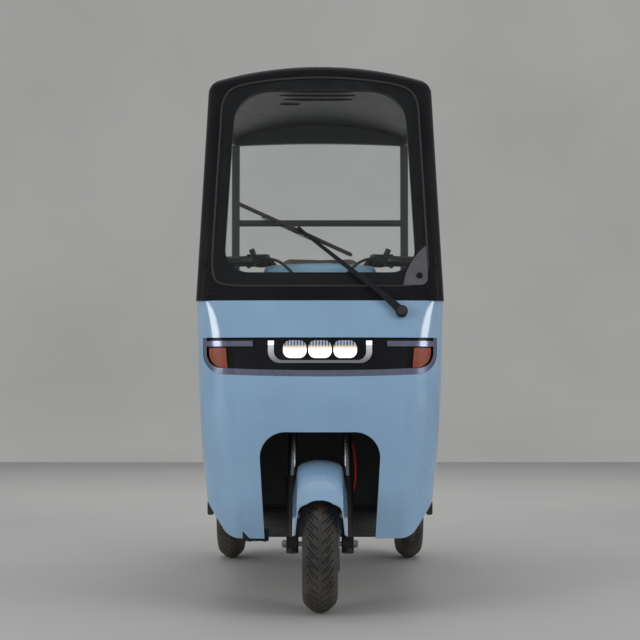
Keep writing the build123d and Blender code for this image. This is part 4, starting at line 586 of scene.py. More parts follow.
def moulded(name, colour, roughness=0.45, scale=900.0, strength=0.25, dust=0.4, wear=0.35):
    """Moulded plastic or rubber: a pebbled grain, scuffed edges and dust."""
    material, tree, shader = start_material(name)
    grain = group_node(tree, "grain", Scale=scale)
    pale = tuple(channel * 1.5 + 0.01 for channel in colour[:3]) + (1,)
    tone = mix_colour(tree, times(tree, grain.outputs["Variation"], 0.5), colour, pale)
    edges = group_node(tree, "wear", Width=0.002, Amount=wear)
    scuffed = mix_colour(tree, edges.outputs["Mask"], tone, srgb(112, 112, 112))
    dusty = group_node(tree, "dust", Color=scuffed, Amount=dust)
    set_shader(shader, Base_Color=dusty.outputs["Color"])
    rough = plus(tree, times(tree, grain.outputs["Variation"], 0.12), roughness)
    set_shader(shader, Roughness=plus(tree, rough, times(tree, dusty.outputs["Mask"], 0.3), clamp=True))
    bump(tree, shader, grain.outputs["Height"], strength, 0.0006)
    return material


def metal(name, colour, roughness=0.3, scale=420.0, strength=0.15, dust=0.25, metallic=1.0, wear=0.0):
    """Bare, cast or plated metal: fine pits, a cloudy gloss and dust."""
    material, tree, shader = start_material(name)
    skin = group_node(tree, "cast", Scale=scale)
    dark = tuple(channel * 0.72 for channel in colour[:3]) + (1,)
    tone = mix_colour(tree, skin.outputs["Tone"], dark, colour)
    if wear:
        edges = group_node(tree, "wear", Width=0.002, Amount=wear)
        tone = mix_colour(tree, edges.outputs["Mask"], tone, srgb(214, 214, 212))
    dusty = group_node(tree, "dust", Color=tone, Amount=dust)
    set_shader(
        shader, Base_Color=dusty.outputs["Color"],
        Roughness=spread(tree, skin.outputs["Tone"], 0, 1, roughness + 0.12, roughness),
        Metallic=spread(tree, dusty.outputs["Mask"], 0, 0.8, metallic, metallic * 0.2)
    )
    bump(tree, shader, skin.outputs["Height"], strength, 0.0005)
    return material


def seat_cover(name, colour):
    """Brown leathercloth with creased grain and a soft worn sheen."""
    material, tree, shader = start_material(name)
    skin = group_node(tree, "leather", Color=colour)
    dusty = group_node(tree, "dust", Color=skin.outputs["Color"], Amount=0.12)
    set_shader(
        shader, Base_Color=dusty.outputs["Color"],
        Roughness=spread(tree, skin.outputs["Worn"], 0, 1, 0.5, 0.36), Sheen_Weight=0.15, Coat_Weight=0.08,
        Coat_Roughness=0.3
    )
    bump(tree, shader, skin.outputs["Height"], 0.35, 0.0007)
    return material


def clear_pane(name, tint):
    """Safety glass: it lets shadow rays through and keeps faint smears in its gloss."""
    material, tree, shader = start_material(name)
    where = place_socket(tree)
    smears = spread(tree, noise(tree, where, 6, 5, 0.65), 0.45, 0.75)
    set_shader(
        shader, Base_Color=mix_colour(tree, times(tree, smears, 0.12), tint, srgb(206, 214, 210)),
        Roughness=spread(tree, smears, 0, 1, 0.02, 0.035), Transmission_Weight=1.0, IOR=1.25
    )
    through = node(tree, "ShaderNodeBsdfTransparent", Color=tint)
    rays = node(tree, "ShaderNodeLightPath")
    blend = node(tree, "ShaderNodeMixShader", i0=rays.outputs["Is Shadow Ray"])
    tree.links.new(shader.outputs[0], blend.inputs[1])
    tree.links.new(through.outputs[0], blend.inputs[2])
    tree.links.new(blend.outputs[0], tree.nodes["Material Output"].inputs["Surface"])
    return material


# A lens's flutes, and the blur at the edges of its bands, in metres
FLUTE_PITCH = 0.006
BAND_BLUR = 0.0006


def lens(name, colour, roughness=0.3, bands=()):
    """A lamp lens: coloured plastic with moulded flutes, and level bands of other colours by height."""
    material, tree, shader = start_material(name)
    where = place_socket(tree)
    parts = node(tree, "ShaderNodeSeparateXYZ", Vector=where)
    flutes = math_node(tree, "SINE", times(tree, parts.outputs["X"], 2 * math.pi / FLUTE_PITCH))
    cloud = spread(tree, noise(tree, where, 60, 3, 0.5), 0.3, 0.7)
    deep = tuple(channel * 0.7 for channel in colour[:3]) + (1,)
    tone = mix_colour(tree, cloud, deep, colour)
    height = parts.outputs["Z"]
    for low, high, other in bands:
        above = spread(tree, height, low, low + BAND_BLUR)
        below = spread(tree, height, high, high - BAND_BLUR)
        tone = mix_colour(tree, times(tree, above, below), tone, other)
    set_shader(
        shader, Base_Color=tone, Roughness=spread(tree, cloud, 0, 1, roughness, roughness + 0.08),
        Coat_Weight=0.1, Coat_Roughness=0.2, Specular_IOR_Level=0.3
    )
    bump(tree, shader, flutes, 0.3, 0.0008)
    return material


# Tyres

# Grooves round a tyre, and the faces that share one pitch
TREAD_PITCHES = 44
TREAD_STEPS = 5
# The tread's edge as a share of half the width, and the sidewall from there to the bead as (share, radius)
SHOULDER = 0.62
SIDEWALL = (
    (0.74, 0.1815), (0.88, 0.1735), (0.97, 0.1645), (1.0, 0.157), (0.985, 0.1485), (0.93, 0.141),
    (0.82, 0.1345), (0.76, 0.1318), (0.74, 0.1303)
)
GROOVE_FOOT = 0.175


def crown_profile(half):
    """A tyre's section from bead to bead, as (across, out from the axle, lean of the tread's lines)."""
    rows = []
    for share in (0.0, 0.1, 0.22, 0.36, 0.5, SHOULDER):
        out = TYRE_RADIUS - 0.015 * (share / SHOULDER) ** 2
        rows.append((half * share, out, 0.17 * (share / SHOULDER) ** 1.5))
    for across, out in SIDEWALL:
        rows.append((half * across, out, 0.19))
    left = [(-across, out, lean) for across, out, lean in reversed(rows[1:])]
    return left + rows


def build_tyre(name, half):
    """A tyre spun about its axle, with a smooth middle rib and grooves that lean back to each shoulder."""
    centre = WHEEL_CENTRES[name]
    profile = crown_profile(half)
    mesh = bpy.data.meshes.new(name + "_section")
    places = []
    for across, out, lean in profile:
        places.append(centre + Vector((across, out * math.sin(lean), out * math.cos(lean))))
    mesh.from_pydata(places, [(row, (row + 1) % len(places)) for row in range(len(places))], [])
    piece = activate(new_object(name + "_treaded", mesh))
    steps = TREAD_PITCHES * TREAD_STEPS
    bpy.ops.object.mode_set(mode="EDIT")
    bpy.ops.mesh.select_all(action="SELECT")
    bpy.ops.mesh.spin(steps=steps, angle=2 * math.pi, center=centre, axis=(1, 0, 0), dupli=False)
    bpy.ops.mesh.select_all(action="SELECT")
    bpy.ops.mesh.remove_doubles(threshold=0.0002)
    bpy.ops.mesh.normals_make_consistent(inside=False)
    bpy.ops.mesh.select_all(action="DESELECT")
    bpy.ops.object.mode_set(mode="OBJECT")
    depth = bpy.context.scene.trike_sizes.tread_depth
    leans = sorted((abs(across), lean) for across, out, lean in profile)
    pitch = 2 * math.pi / TREAD_PITCHES

    def lean_at(across):
        for (near, low), (far, high) in zip(leans, leans[1:]):
            if near <= across <= far:
                return low + (high - low) * (across - near) / max(far - near, 1e-6)
        return leans[-1][1]

    for polygon in piece.data.polygons:
        offset = polygon.center - centre
        across = abs(offset.x)
        turn = math.atan2(offset.y, offset.z) - lean_at(across)
        if offset.x > 0:
            turn += pitch * 0.5
        cell = int((turn % pitch) / pitch * TREAD_STEPS)
        out = math.hypot(offset.y, offset.z)
        grooved = 0.12 * half < across < 0.7 * half and out > GROOVE_FOOT and cell == 0
        sipe = 0.36 * half < across < 0.66 * half and out > GROOVE_FOOT and cell == 3
        polygon.select = grooved or sipe
    bpy.ops.object.mode_set(mode="EDIT")
    bpy.ops.mesh.select_mode(type="FACE")
    bpy.ops.mesh.inset(thickness=0.0008, depth=-depth, use_boundary=True)
    bpy.ops.object.mode_set(mode="OBJECT")
    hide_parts(name)
    return dress(piece, name + "_treaded", WHEEL_BODIES[name], "tyre_rubber", 40)


class TRIKE_OT_tyres(bpy.types.Operator):
    """Build the three treaded tyres in place of the smooth ones"""

    bl_idname = "trike.tyres"
    bl_label = "Tread the tyres"

    def execute(self, context):
        for name in WHEEL_CENTRES:
            low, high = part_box(name)
            build_tyre(name, (high.x - low.x) / 2)
        return {"FINISHED"}


# Seats

# How a pad is puffed: its mesh's grain, how far it shrinks first, how hard and how long it is blown up, and
# how far a point may swell out
PAD_VOXEL = 0.0055
PAD_SHRINK = 0.985
PAD_PRESSURE = 4.0
PAD_FRAMES = 20
PAD_SWELL = 0.009
# A seam's half width, and how squarely a face has to look out for the seam to sink in it
SEAM_WIDTH = 0.007
SEAM_EDGE = 0.35
# Seams as (axis, share of the pad's box)
CUSHION_SEAMS = ((0, 0.22), (0, 0.78), (1, 0.3), (1, 0.55), (1, 0.8))
BACKREST_SEAMS = ((0, 0.2), (0, 0.8), (2, 0.3), (2, 0.52), (2, 0.74))
PIPING_STEPS = 96


def solid_copy(name, label):
    """A merged copy of a solid's mesh as a new object."""
    piece = NODES[name].copy()
    piece.data = NODES[name].data.copy()
    piece.name = label
    piece.parent = None
    piece.matrix_world = Matrix.Identity(4)
    for key in list(piece.keys()):
        del piece[key]
    bpy.context.collection.objects.link(piece)
    piece.hide_render = False
    piece.hide_viewport = False
    activate(piece)
    bpy.ops.object.mode_set(mode="EDIT")
    bpy.ops.mesh.select_all(action="SELECT")
    bpy.ops.mesh.remove_doubles(threshold=0.00005)
    bpy.ops.object.mode_set(mode="OBJECT")
    return piece


def puff(piece):
    """Remesh a pad, blow it up as cloth, and keep each point near where it was."""
    add_modifier(piece, "REMESH", mode="VOXEL", voxel_size=PAD_VOXEL)
    before = [vertex.co.copy() for vertex in piece.data.vertices]
    activate(piece)
    cloth = piece.modifiers.new("Cloth", "CLOTH")
    cloth.settings.use_pressure = True
    cloth.settings.uniform_pressure_force = PAD_PRESSURE
    cloth.settings.effector_weights.gravity = 0
    cloth.settings.quality = 4
    cloth.point_cache.frame_end = PAD_FRAMES
    for moment in range(1, PAD_FRAMES + 1):
        bpy.context.scene.frame_set(moment)
    bpy.ops.object.modifier_apply(modifier=cloth.name)
    bpy.context.scene.frame_set(1)
    for vertex, start in zip(piece.data.vertices, before):
        step = vertex.co - start
        if step.length > PAD_SWELL:
            vertex.co = start + step * (PAD_SWELL / step.length)


def sew(piece, seams, depth, facing):
    """Sink a channel along each seam, an (axis, place) pair, where the faces look out."""
    outward = [vertex.normal.dot(facing) - SEAM_EDGE for vertex in piece.data.vertices]
    for vertex, ahead in zip(piece.data.vertices, outward):
        if ahead > 0:
            near = min(abs(vertex.co[axis] - place) for axis, place in seams)
            share = math.exp(-((near / SEAM_WIDTH) ** 2))
            vertex.co -= facing * (depth * share * min(1, ahead / 0.2))


def upholster(name, shares, facing, along):
    """A stuffed seat piece: puffed, sewn and subdivided, with piping round its front edge."""
    label = name + "_cover"
    piece = solid_copy(name, label)
    low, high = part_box(name)
    middle = (low + high) / 2
    for vertex in piece.data.vertices:
        vertex.co = middle + (vertex.co - middle) * PAD_SHRINK
    puff(piece)
    seams = [(axis, low[axis] + (high[axis] - low[axis]) * share) for axis, share in shares]
    sew(piece, seams, bpy.context.scene.trike_sizes.seam_depth, Vector(facing))
    add_modifier(piece, "SUBSURF", levels=1, render_levels=1)
    fit_inside(piece, low, high)
    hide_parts(name)
    dress(piece, label, "chassis", "seat_leather", 60)
    pipe_edge(piece, name, Vector(facing), Vector(along))


def fit_inside(piece, low, high):
    """Keep a puffed piece in its solid's box, so that it clears its neighbours."""
    grow = 0.004
    for vertex in piece.data.vertices:
        for axis in range(3):
            vertex.co[axis] = min(max(vertex.co[axis], low[axis] - grow), high[axis] + grow)


def pipe_edge(piece, name, facing, along):
    """Piping laid on the cover's own sides, a little behind the face that looks out."""
    low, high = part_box(name)
    middle = (low + high) / 2
    reach = abs((high - low).dot(along)) * 0.3
    bpy.context.view_layer.update()
    found, first, normal, index = piece.ray_cast(middle - along * reach + facing, -facing)
    found, second, normal, index = piece.ray_cast(middle + along * reach + facing, -facing)
    slope = (second - first).normalized()
    centre = (first + second) / 2 - facing * 0.02
    points = []
    for turn in range(PIPING_STEPS):
        angle = 2 * math.pi * turn / PIPING_STEPS
        found, place, normal, index = piece.ray_cast(
            centre, Vector((1, 0, 0)) * math.cos(angle) + slope * math.sin(angle)
        )
        if not found:
            raise RuntimeError("the cover of %s has no side at turn %d" % (name, turn))
        points.append(place)
    cord = tube_along(points, 0.0034, closed=True)
    dress(cord, name + "_piping", "chassis", "seat_leather", 60)


class TRIKE_OT_seats(bpy.types.Operator):
    """Upholster the two cushions and the two backrests"""

    bl_idname = "trike.seats"
    bl_label = "Upholster the seats"

    def execute(self, context):
        for name in ("driver_seat_cushion", "rear_seat_cushion"):
            upholster(name, CUSHION_SEAMS, (0, 0, 1), (0, 1, 0))
        for name in ("driver_backrest", "rear_backrest"):
            upholster(name, BACKREST_SEAMS, (0, -1, 0), (0, 0, 1))
        return {"FINISHED"}


# Lamps

# Heights where the headlamp's colours meet, then the light guide's own places
LIT_TOP = 0.7725
CUT_OFF = 0.7765
WARM_FOOT = 0.770
WARM_TOP = 0.784
GUIDE_SIDE = (0.1562, 0.1558)
GUIDE_FOOT = (0.7205, 0.7215)
GUIDE_TIPS = (0.780, 0.784)
GUIDE_FADE = (0.735, 0.785)
DARK = (0, 0, 0, 1)


def headlamp(name, glow):
    """A headlamp lens: lit bright below its cut-off, a warm line above that, and a bluish clear top."""
    material, tree, shader = start_material(name)
    where = place_socket(tree)
    parts = node(tree, "ShaderNodeSeparateXYZ", Vector=where)
    ripple = times(tree, noise(tree, where, 180, 3, 0.5), 0.004)
    height = plus(tree, parts.outputs["Z"], ripple)
    lit = spread(tree, height, CUT_OFF, LIT_TOP)
    warm = times(tree, spread(tree, height, WARM_TOP, CUT_OFF), spread(tree, height, WARM_FOOT, CUT_OFF))
    flutes = math_node(tree, "SINE", times(tree, parts.outputs["X"], 700))
    broken = times(tree, noise(tree, where, 90, 2, 0.5), 2)
    facets = spread(tree, plus(tree, flutes, broken), 0.2, 1.6)
    clear = mix_colour(tree, facets, srgb(66, 74, 92), srgb(176, 186, 206))
    warmed = mix_colour(tree, times(tree, warm, 0.8), clear, srgb(250, 214, 168))
    tone = mix_colour(tree, lit, warmed, srgb(250, 252, 255))
    set_shader(shader, Base_Color=tone)
    shining = math_node(tree, "MAXIMUM", lit, times(tree, warm, 0.5))
    set_shader(
        shader, Emission_Color=mix_colour(tree, shining, DARK, tone),
        Roughness=spread(tree, facets, 0, 1, 0.06, 0.16), Emission_Strength=glow * 0.3, Coat_Weight=0.8,
        Coat_Roughness=0.04
    )
    bump(tree, shader, flutes, 0.2, 0.0008)
    return material


def light_guide(name):
    """The U-shaped guide, white at its two tips, and the grey bright band round the lamp strip."""
    material, tree, shader = start_material(name)
    where = place_socket(tree)
    parts = node(tree, "ShaderNodeSeparateXYZ", Vector=where)
    across = math_node(tree, "ABSOLUTE", parts.outputs["X"])
    height = parts.outputs["Z"]
    inner = times(tree, spread(tree, across, *GUIDE_SIDE), spread(tree, height, *GUIDE_FOOT))
    tips = times(tree, inner, spread(tree, height, *GUIDE_TIPS))
    fade = spread(tree, height, *GUIDE_FADE)
    streaks = spread(tree, noise(tree, where, 120, 2, 0.5), 0.3, 0.7)
    guide = mix_colour(tree, fade, srgb(104, 106, 112), srgb(206, 206, 208))
    lit = mix_colour(tree, tips, guide, srgb(255, 255, 255))
    band = mix_colour(tree, streaks, srgb(96, 100, 120), srgb(112, 116, 138))
    set_shader(shader, Base_Color=mix_colour(tree, inner, band, lit))
    faint = mix_colour(tree, 0.8, guide, DARK)
    shine = mix_colour(tree, inner, DARK, mix_colour(tree, tips, faint, (1, 1, 1, 1)))
    set_shader(
        shader, Emission_Color=shine, Roughness=spread(tree, inner, 0, 1, 0.24, 0.3),
        Metallic=spread(tree, inner, 0, 1, 0.75, 0.0), Emission_Strength=0.9, Coat_Weight=0.5,
        Coat_Roughness=0.1
    )
    bump(tree, shader, streaks, 0.05, 0.0005)
    return material


# The solids whose paint is greyer than their slot's, and the tail lamp's bands as (low, high, colour)
GREYER_SOLIDS = ("rear_posts", "rear_crossbars")
TAIL_BANDS = (
    (0.448, 0.451, srgb(20, 12, 12)), (0.42, 0.448, srgb(206, 204, 200)), (0.483, 0.486, srgb(20, 12, 12)),
    (0.451, 0.483, srgb(186, 92, 26))
)


def make_materials():
    """Build every finish from the colours in the panel."""
    colours = bpy.context.scene.trike_colours
    glow = colours.lamp_glow
    MATERIALS.update({
        "body_paint": painted(
            "Blue body paint", tuple(colours.paint), srgb(86, 92, 98), dust=colours.dust, wear=0.35
        ),
        "black_paint": painted(
            "Satin black powder coat", tuple(colours.black), srgb(84, 82, 80), roughness=0.5, coat=0.0,
            dust=0.1, wear=0.1, peel=0.3, gloss=0.18
        ),
        # A greyer copy of the black powder coat, for the rear posts and crossbars
        "post_paint": painted(
            "Greyer black powder coat", srgb(47, 47, 50), srgb(92, 90, 88), roughness=0.45, coat=0.0,
            dust=0.1, wear=0.15, peel=0.3, gloss=0.25
        ),
        "black_gloss": painted(
            "Gloss black moulding", srgb(13, 14, 18), srgb(60, 60, 60), roughness=0.32, coat=0.03,
            dust=0.05, wear=0.05, peel=0.05, gloss=0.12
        ),
        "black_plastic": moulded("Grained black moulding", srgb(27, 28, 31), roughness=0.5, dust=0.15),
        "grey_plastic": moulded(
            "Satin grey moulding", srgb(73, 72, 78), roughness=0.38, scale=1300, strength=0.12, wear=0.3
        ),
        "screen_glass": clear_pane("Windscreen glass", tuple(colours.glass)),
        "lamp_lens": headlamp("Headlamp lens", glow),
        "light_guide": light_guide("Light guide and bright band"),
        "amber_lens": lens("Amber lens", srgb(142, 56, 24)),
        "red_lens": lens("Red lens", srgb(150, 16, 18), roughness=0.14, bands=TAIL_BANDS),
        "seat_leather": seat_cover("Brown leathercloth", tuple(colours.leather)),
        "tyre_rubber": moulded(
            "Tyre rubber", srgb(33, 32, 32), roughness=0.72, scale=700, strength=0.35, dust=0.5, wear=0.15
        ),
        "soft_rubber": moulded(
            "Soft black rubber", srgb(30, 30, 31), roughness=0.6, scale=800, strength=0.3
        ),
        "cast_alloy": metal(
            "Painted cast alloy", srgb(150, 152, 154), roughness=0.34, metallic=0.85, wear=0.4
        ),
        "bright_steel": metal("Bright steel", srgb(150, 152, 154), roughness=0.3, scale=900),
        "chrome_tube": metal(
            "Chromed tube", srgb(128, 131, 136), roughness=0.2, scale=900, strength=0.04, dust=0.1
        ),
        "hose_red": moulded("Red brake hose", srgb(214, 46, 38), roughness=0.35, dust=0.1),
        "display_glass": painted(
            "Dark display glass", srgb(12, 14, 18), srgb(60, 60, 60), roughness=0.08, dust=0.1, wear=0
        ),
    })


class TRIKE_OT_finishes(bpy.types.Operator):
    """Give every solid of the tricycle its finish"""

    bl_idname = "trike.finishes"
    bl_label = "Finish the solids"

    def execute(self, context):
        make_materials()
        for part in frame["record"]["subparts"]:
            piece = NODES[part["node"]]
            piece.data.materials.clear()
            # The rear posts and crossbars take the greyer copy of the black powder coat
            worn = part["node"] in GREYER_SOLIDS
            piece.data.materials.append(MATERIALS["post_paint" if worn else part["material_slot"]])
        return {"FINISHED"}


# The floor's size, the line behind the vehicle where it bends up, and the bend's steps
FLOOR_SIZE = (30, 14)
BEND_LINE = 6
BEND_STEPS = 8
BEND_RUN = 0.5
# Lamps: name, place, size and power
SOFTBOXES = (
    ("Left softbox", (-5.4, -4.6, 1.9), (3.0, 2.4), 150),
    ("Right softbox", (5.4, -4.4, 1.9), (3.0, 2.4), 135), ("Top softbox", (0, 1.2, 5.4), (5.0, 5.0), 45),
    ("Rear softbox", (0, 5.0, 3.8), (4.0, 1.5), 50)
)


def studio_floor():
    """A floor that bends up into a backdrop behind the vehicle."""
    deselect()
    bpy.ops.mesh.primitive_plane_add(size=1, location=(0, 0, 0))
    floor = bpy.context.object
    floor.scale = (*FLOOR_SIZE, 1)
    settle(floor)
    bpy.ops.object.mode_set(mode="EDIT")
    bpy.ops.mesh.select_all(action="DESELECT")
    bpy.ops.object.mode_set(mode="OBJECT")
    for edge in floor.data.edges:
        edge.select = all(floor.data.vertices[corner].co.y > BEND_LINE for corner in edge.vertices)
    bpy.ops.object.mode_set(mode="EDIT")
    bpy.ops.mesh.select_mode(type="EDGE")
    for turn in range(BEND_STEPS):
        slope = math.radians((turn + 0.5) * 90 / BEND_STEPS)
        step = (0, BEND_RUN * math.cos(slope), BEND_RUN * math.sin(slope))
        bpy.ops.mesh.extrude_region_move(TRANSFORM_OT_translate={"value": step})
    bpy.ops.mesh.extrude_region_move(TRANSFORM_OT_translate={"value": (0, 0, 9)})
    bpy.ops.object.mode_set(mode="OBJECT")
    smooth(floor, 40)
    floor.name = "studio_floor"
    return floor


def cloudy(tree, scale, first, second):
    """Two close colours in large soft patches, as a socket."""
    patches = spread(tree, noise(tree, place_socket(tree), scale, 3, 0.5), 0.3, 0.7)
    return mix_colour(tree, patches, first, second)


def floor_material():
    """The pale matt floor."""
    material, tree, shader = start_material("Pale studio floor")
    tone = cloudy(tree, 0.7, srgb(186, 186, 184), srgb(194, 194, 191))
    set_shader(shader, Base_Color=tone, Roughness=0.9, Specular_IOR_Level=0.1)
    return material


def wall_material():
    """The pale wall: evenly bright to the rays that show it, and a plain matt wall to the rest."""
    material, tree, shader = start_material("Pale studio wall")
    tone = cloudy(tree, 0.5, srgb(153, 153, 152), srgb(161, 161, 160))
    set_shader(shader, Base_Color=tone, Roughness=0.95, Specular_IOR_Level=0.0)
    rays = node(tree, "ShaderNodeLightPath")
    seen = math_node(tree, "MAXIMUM", rays.outputs["Is Camera Ray"], rays.outputs["Is Glossy Ray"])
    seen = math_node(tree, "MAXIMUM", seen, rays.outputs["Is Transmission Ray"])
    glow = node(tree, "ShaderNodeEmission", Color=tone, Strength=1.0)
    shown = node(tree, "ShaderNodeMixShader", i0=seen)
    tree.links.new(shader.outputs[0], shown.inputs[1])
    tree.links.new(glow.outputs[0], shown.inputs[2])
    tree.links.new(shown.outputs[0], tree.nodes["Material Output"].inputs["Surface"])
    return material


class TRIKE_OT_stage(bpy.types.Operator):
    """Set the floor, the backdrop, the lights and the camera"""

    bl_idname = "trike.stage"
    bl_label = "Set the stage"

    def execute(self, context):
        floor = studio_floor()
        floor.data.materials.append(floor_material())
        floor.data.materials.append(wall_material())
        for polygon in floor.data.polygons:
            polygon.material_index = 1 if polygon.center.y > BEND_LINE + 0.05 else 0
        for name, place, size, power in SOFTBOXES:
            lamp = bpy.data.lights.new(name, "AREA")
            lamp.shape = "RECTANGLE"
            lamp.size, lamp.size_y = size
            lamp.energy = power
            lit = new_object(name, lamp)
            lit.location = place
            lit.rotation_euler = (Vector((0, 0, 0.8)) - Vector(place)).to_track_quat("-Z", "Y").to_euler()
        world = bpy.data.worlds.new("Pale room")
        world.use_nodes = True
        backdrop = world.node_tree.nodes["Background"]
        backdrop.inputs["Color"].default_value = (0.60, 0.61, 0.62, 1)
        backdrop.inputs["Strength"].default_value = 0.8
        context.scene.world = world
        context.scene.view_settings.view_transform = "Standard"
        camera = bpy.data.cameras.new("Photo camera")
        camera.lens = EYE_LENS
        camera.sensor_width = EYE_SENSOR
        eye = new_object("Photo camera", camera)
        eye.location = EYE
        eye.rotation_euler = (math.pi / 2 + EYE_TILT, 0, 0)
        context.scene.camera = eye
        return {"FINISHED"}


# Trim that sits on the solids where the photograph shows it


def sight_line(across, down):
    """The direction from the eye through a picture point."""
    forward = Vector((0, math.cos(EYE_TILT), math.sin(EYE_TILT)))
    upward = Vector((0, -math.sin(EYE_TILT), math.cos(EYE_TILT)))
    side = Vector((1, 0, 0)) * ((across - EYE_CENTRE) / EYE_PIXELS)
    return (forward + side + upward * ((EYE_CENTRE - down) / EYE_PIXELS)).normalized()


def touch(name, start, direction):
    """The point and the outward normal where a line first meets a solid."""
    direction = Vector(direction).normalized()
    found, place, normal, index = NODES[name].ray_cast(Vector(start), direction)
    if not found:
        raise RuntimeError("no surface of %s is met from %s" % (name, tuple(start)))
    return place, -normal if normal.dot(direction) > 0 else normal


def seen_on(name, across, down):
    """The point and the outward normal where a line of sight through a picture point meets a solid."""
    return touch(name, EYE, sight_line(across, down))


def cap_bolt(place, normal, radius, label):
    """A round plug with a rolled edge and a dimple, its foot just under the surface."""
    piece = disc_stack(
        place, normal,
        (
            (radius, -0.002), (radius, 0.0012), (radius * 0.93, 0.0022), (radius * 0.8, 0.0026),
            (radius * 0.62, 0.0018), (radius * 0.5, 0.0012), (radius * 0.16, 0.001)
        )
    )
    dress(piece, label, "chassis", "black_gloss")


# Picture points of the round plugs, and the leaning screen's foot
SCREEN_PLUGS = (
    (211, 135), (429, 137), (204.5, 264), (436, 263.5), (432, 294), (208.5, 294), (231, 83), (284.5, 74),
    (350.5, 73.5), (410, 82.5)
)
CORNER_PLUG = (419.5, 275.5)
SCREEN_FOOT = Vector((0, -0.752, 0.9123))
SEAL_STEPS = 56


def hex_bolt(place, normal, size, label, body="chassis", finish="bright_steel"):
    """A six-sided bolt head with a chamfer, on its round washer."""
    washer = disc_stack(
        place, normal, [(size * 1.35, -0.001), (size * 1.35, size * 0.2), (size * 1.25, size * 0.26)]
    )
    head = disc_stack(
        place, normal, [(size, 0), (size, size * 0.75), (size * 0.86, size * 0.95), (size * 0.5, size)],
        sides=6
    )
    return dress(join([washer, head]), label, body, finish)


class TRIKE_OT_screen_trim(bpy.types.Operator):
    """Add the round plugs and the rubber seal of the windscreen frame"""

    bl_idname = "trike.screen_trim"
    bl_label = "Trim the windscreen"

    def execute(self, context):
        radius = context.scene.trike_sizes.bolt_radius
        for count, point in enumerate(SCREEN_PLUGS):
            cap_bolt(*seen_on("windscreen_frame", *point), radius, "screen_plug_%d" % count)
        cap_bolt(*seen_on("corner_plate", *CORNER_PLUG), 0.0095, "corner_plate_plug")
        build_seal()
        return {"FINISHED"}


def screen_point(across, height, stand):
    """A point on the leaning windscreen, by its place across and its height, moved out from it."""
    rise = (height - SCREEN_FOOT.z) / SCREEN_UP.z
    return SCREEN_FOOT + Vector((across, 0, 0)) + SCREEN_UP * rise + SCREEN_NORMAL * stand


def build_seal():
    """The rubber seal that lines the clear opening, run along the opening's own edge."""
    middle = screen_point(0, 1.28, -0.003)
    points = []
    for turn in range(SEAL_STEPS):
        angle = 2 * math.pi * turn / SEAL_STEPS
        sight = Vector((1, 0, 0)) * math.cos(angle) + SCREEN_UP * math.sin(angle) * 1.05
        found, place, normal, index = NODES["windscreen_frame"].ray_cast(middle, sight.normalized())
        if not found:
            raise RuntimeError("the windscreen frame has no edge at turn %d" % turn)
        points.append(place + SCREEN_NORMAL * 0.003)
    piece = tube_along(points, 0.0032, closed=True)
    dress(piece, "screen_seal", "chassis", "soft_rubber", 60)


class TRIKE_OT_roof_ribs(bpy.types.Operator):
    """Add the pressed ribs under the roof"""

    bl_idname = "trike.roof_ribs"
    bl_label = "Rib the roof lining"

    def execute(self, context):
        for count, (down, left, right) in enumerate(ROOF_RIBS):
            points = []
            for step in range(7):
                across = left + (right - left) * step / 6
                place, normal = seen_on("roof_panel", across, down)
                points.append(place + Vector((0, 0, 0.002 if step in (0, 6) else -0.001)))
            piece = tube_along(points, 0.005)
            dress(piece, "roof_rib_%d" % count, "chassis", "black_gloss", 60)
        return {"FINISHED"}


# Under the roof, each rib's line down the picture, and its left and right ends
ROOF_RIBS = ((91.5, 284, 352), (95.5, 280, 355), (99.5, 284, 352), (104, 280, 300))
# The blade's ends as (across, height), and the sections of blade, bridge and rail as (sideways, outwards)
BLADE_ENDS = ((-0.2455, 1.2025), (0.0945, 1.0445))
BLADE_SECTION = (
    (-0.0007, 0.001), (0.0007, 0.001), (0.0014, 0.006), (0.0055, 0.0078), (0.006, 0.0108), (0.0022, 0.0138),
    (-0.0022, 0.0138), (-0.006, 0.0108), (-0.0055, 0.0078), (-0.0014, 0.006)
)
BRIDGE_SECTION = ((-0.005, 0.0135), (0.005, 0.0135), (0.0042, 0.0175), (-0.0042, 0.0175))
RAIL_SECTION = ((-0.0013, 0.0135), (0.0013, 0.0135), (0.0011, 0.0172), (-0.0011, 0.0172))
# Along the bridge, the places of its claws and their lengths
CLAWS = ((0, 0.006), (4, 0.006), (8, 0.042), (11, 0.006), (15, 0.006))


def eased(start, end, count):
    """Places on the line between two, closer together towards its ends."""
    places = []
    for step in range(count + 1):
        share = step / count
        places.append(start + (end - start) * (share * (1 + 3 * share - 2 * share * share) / 2))
    return places


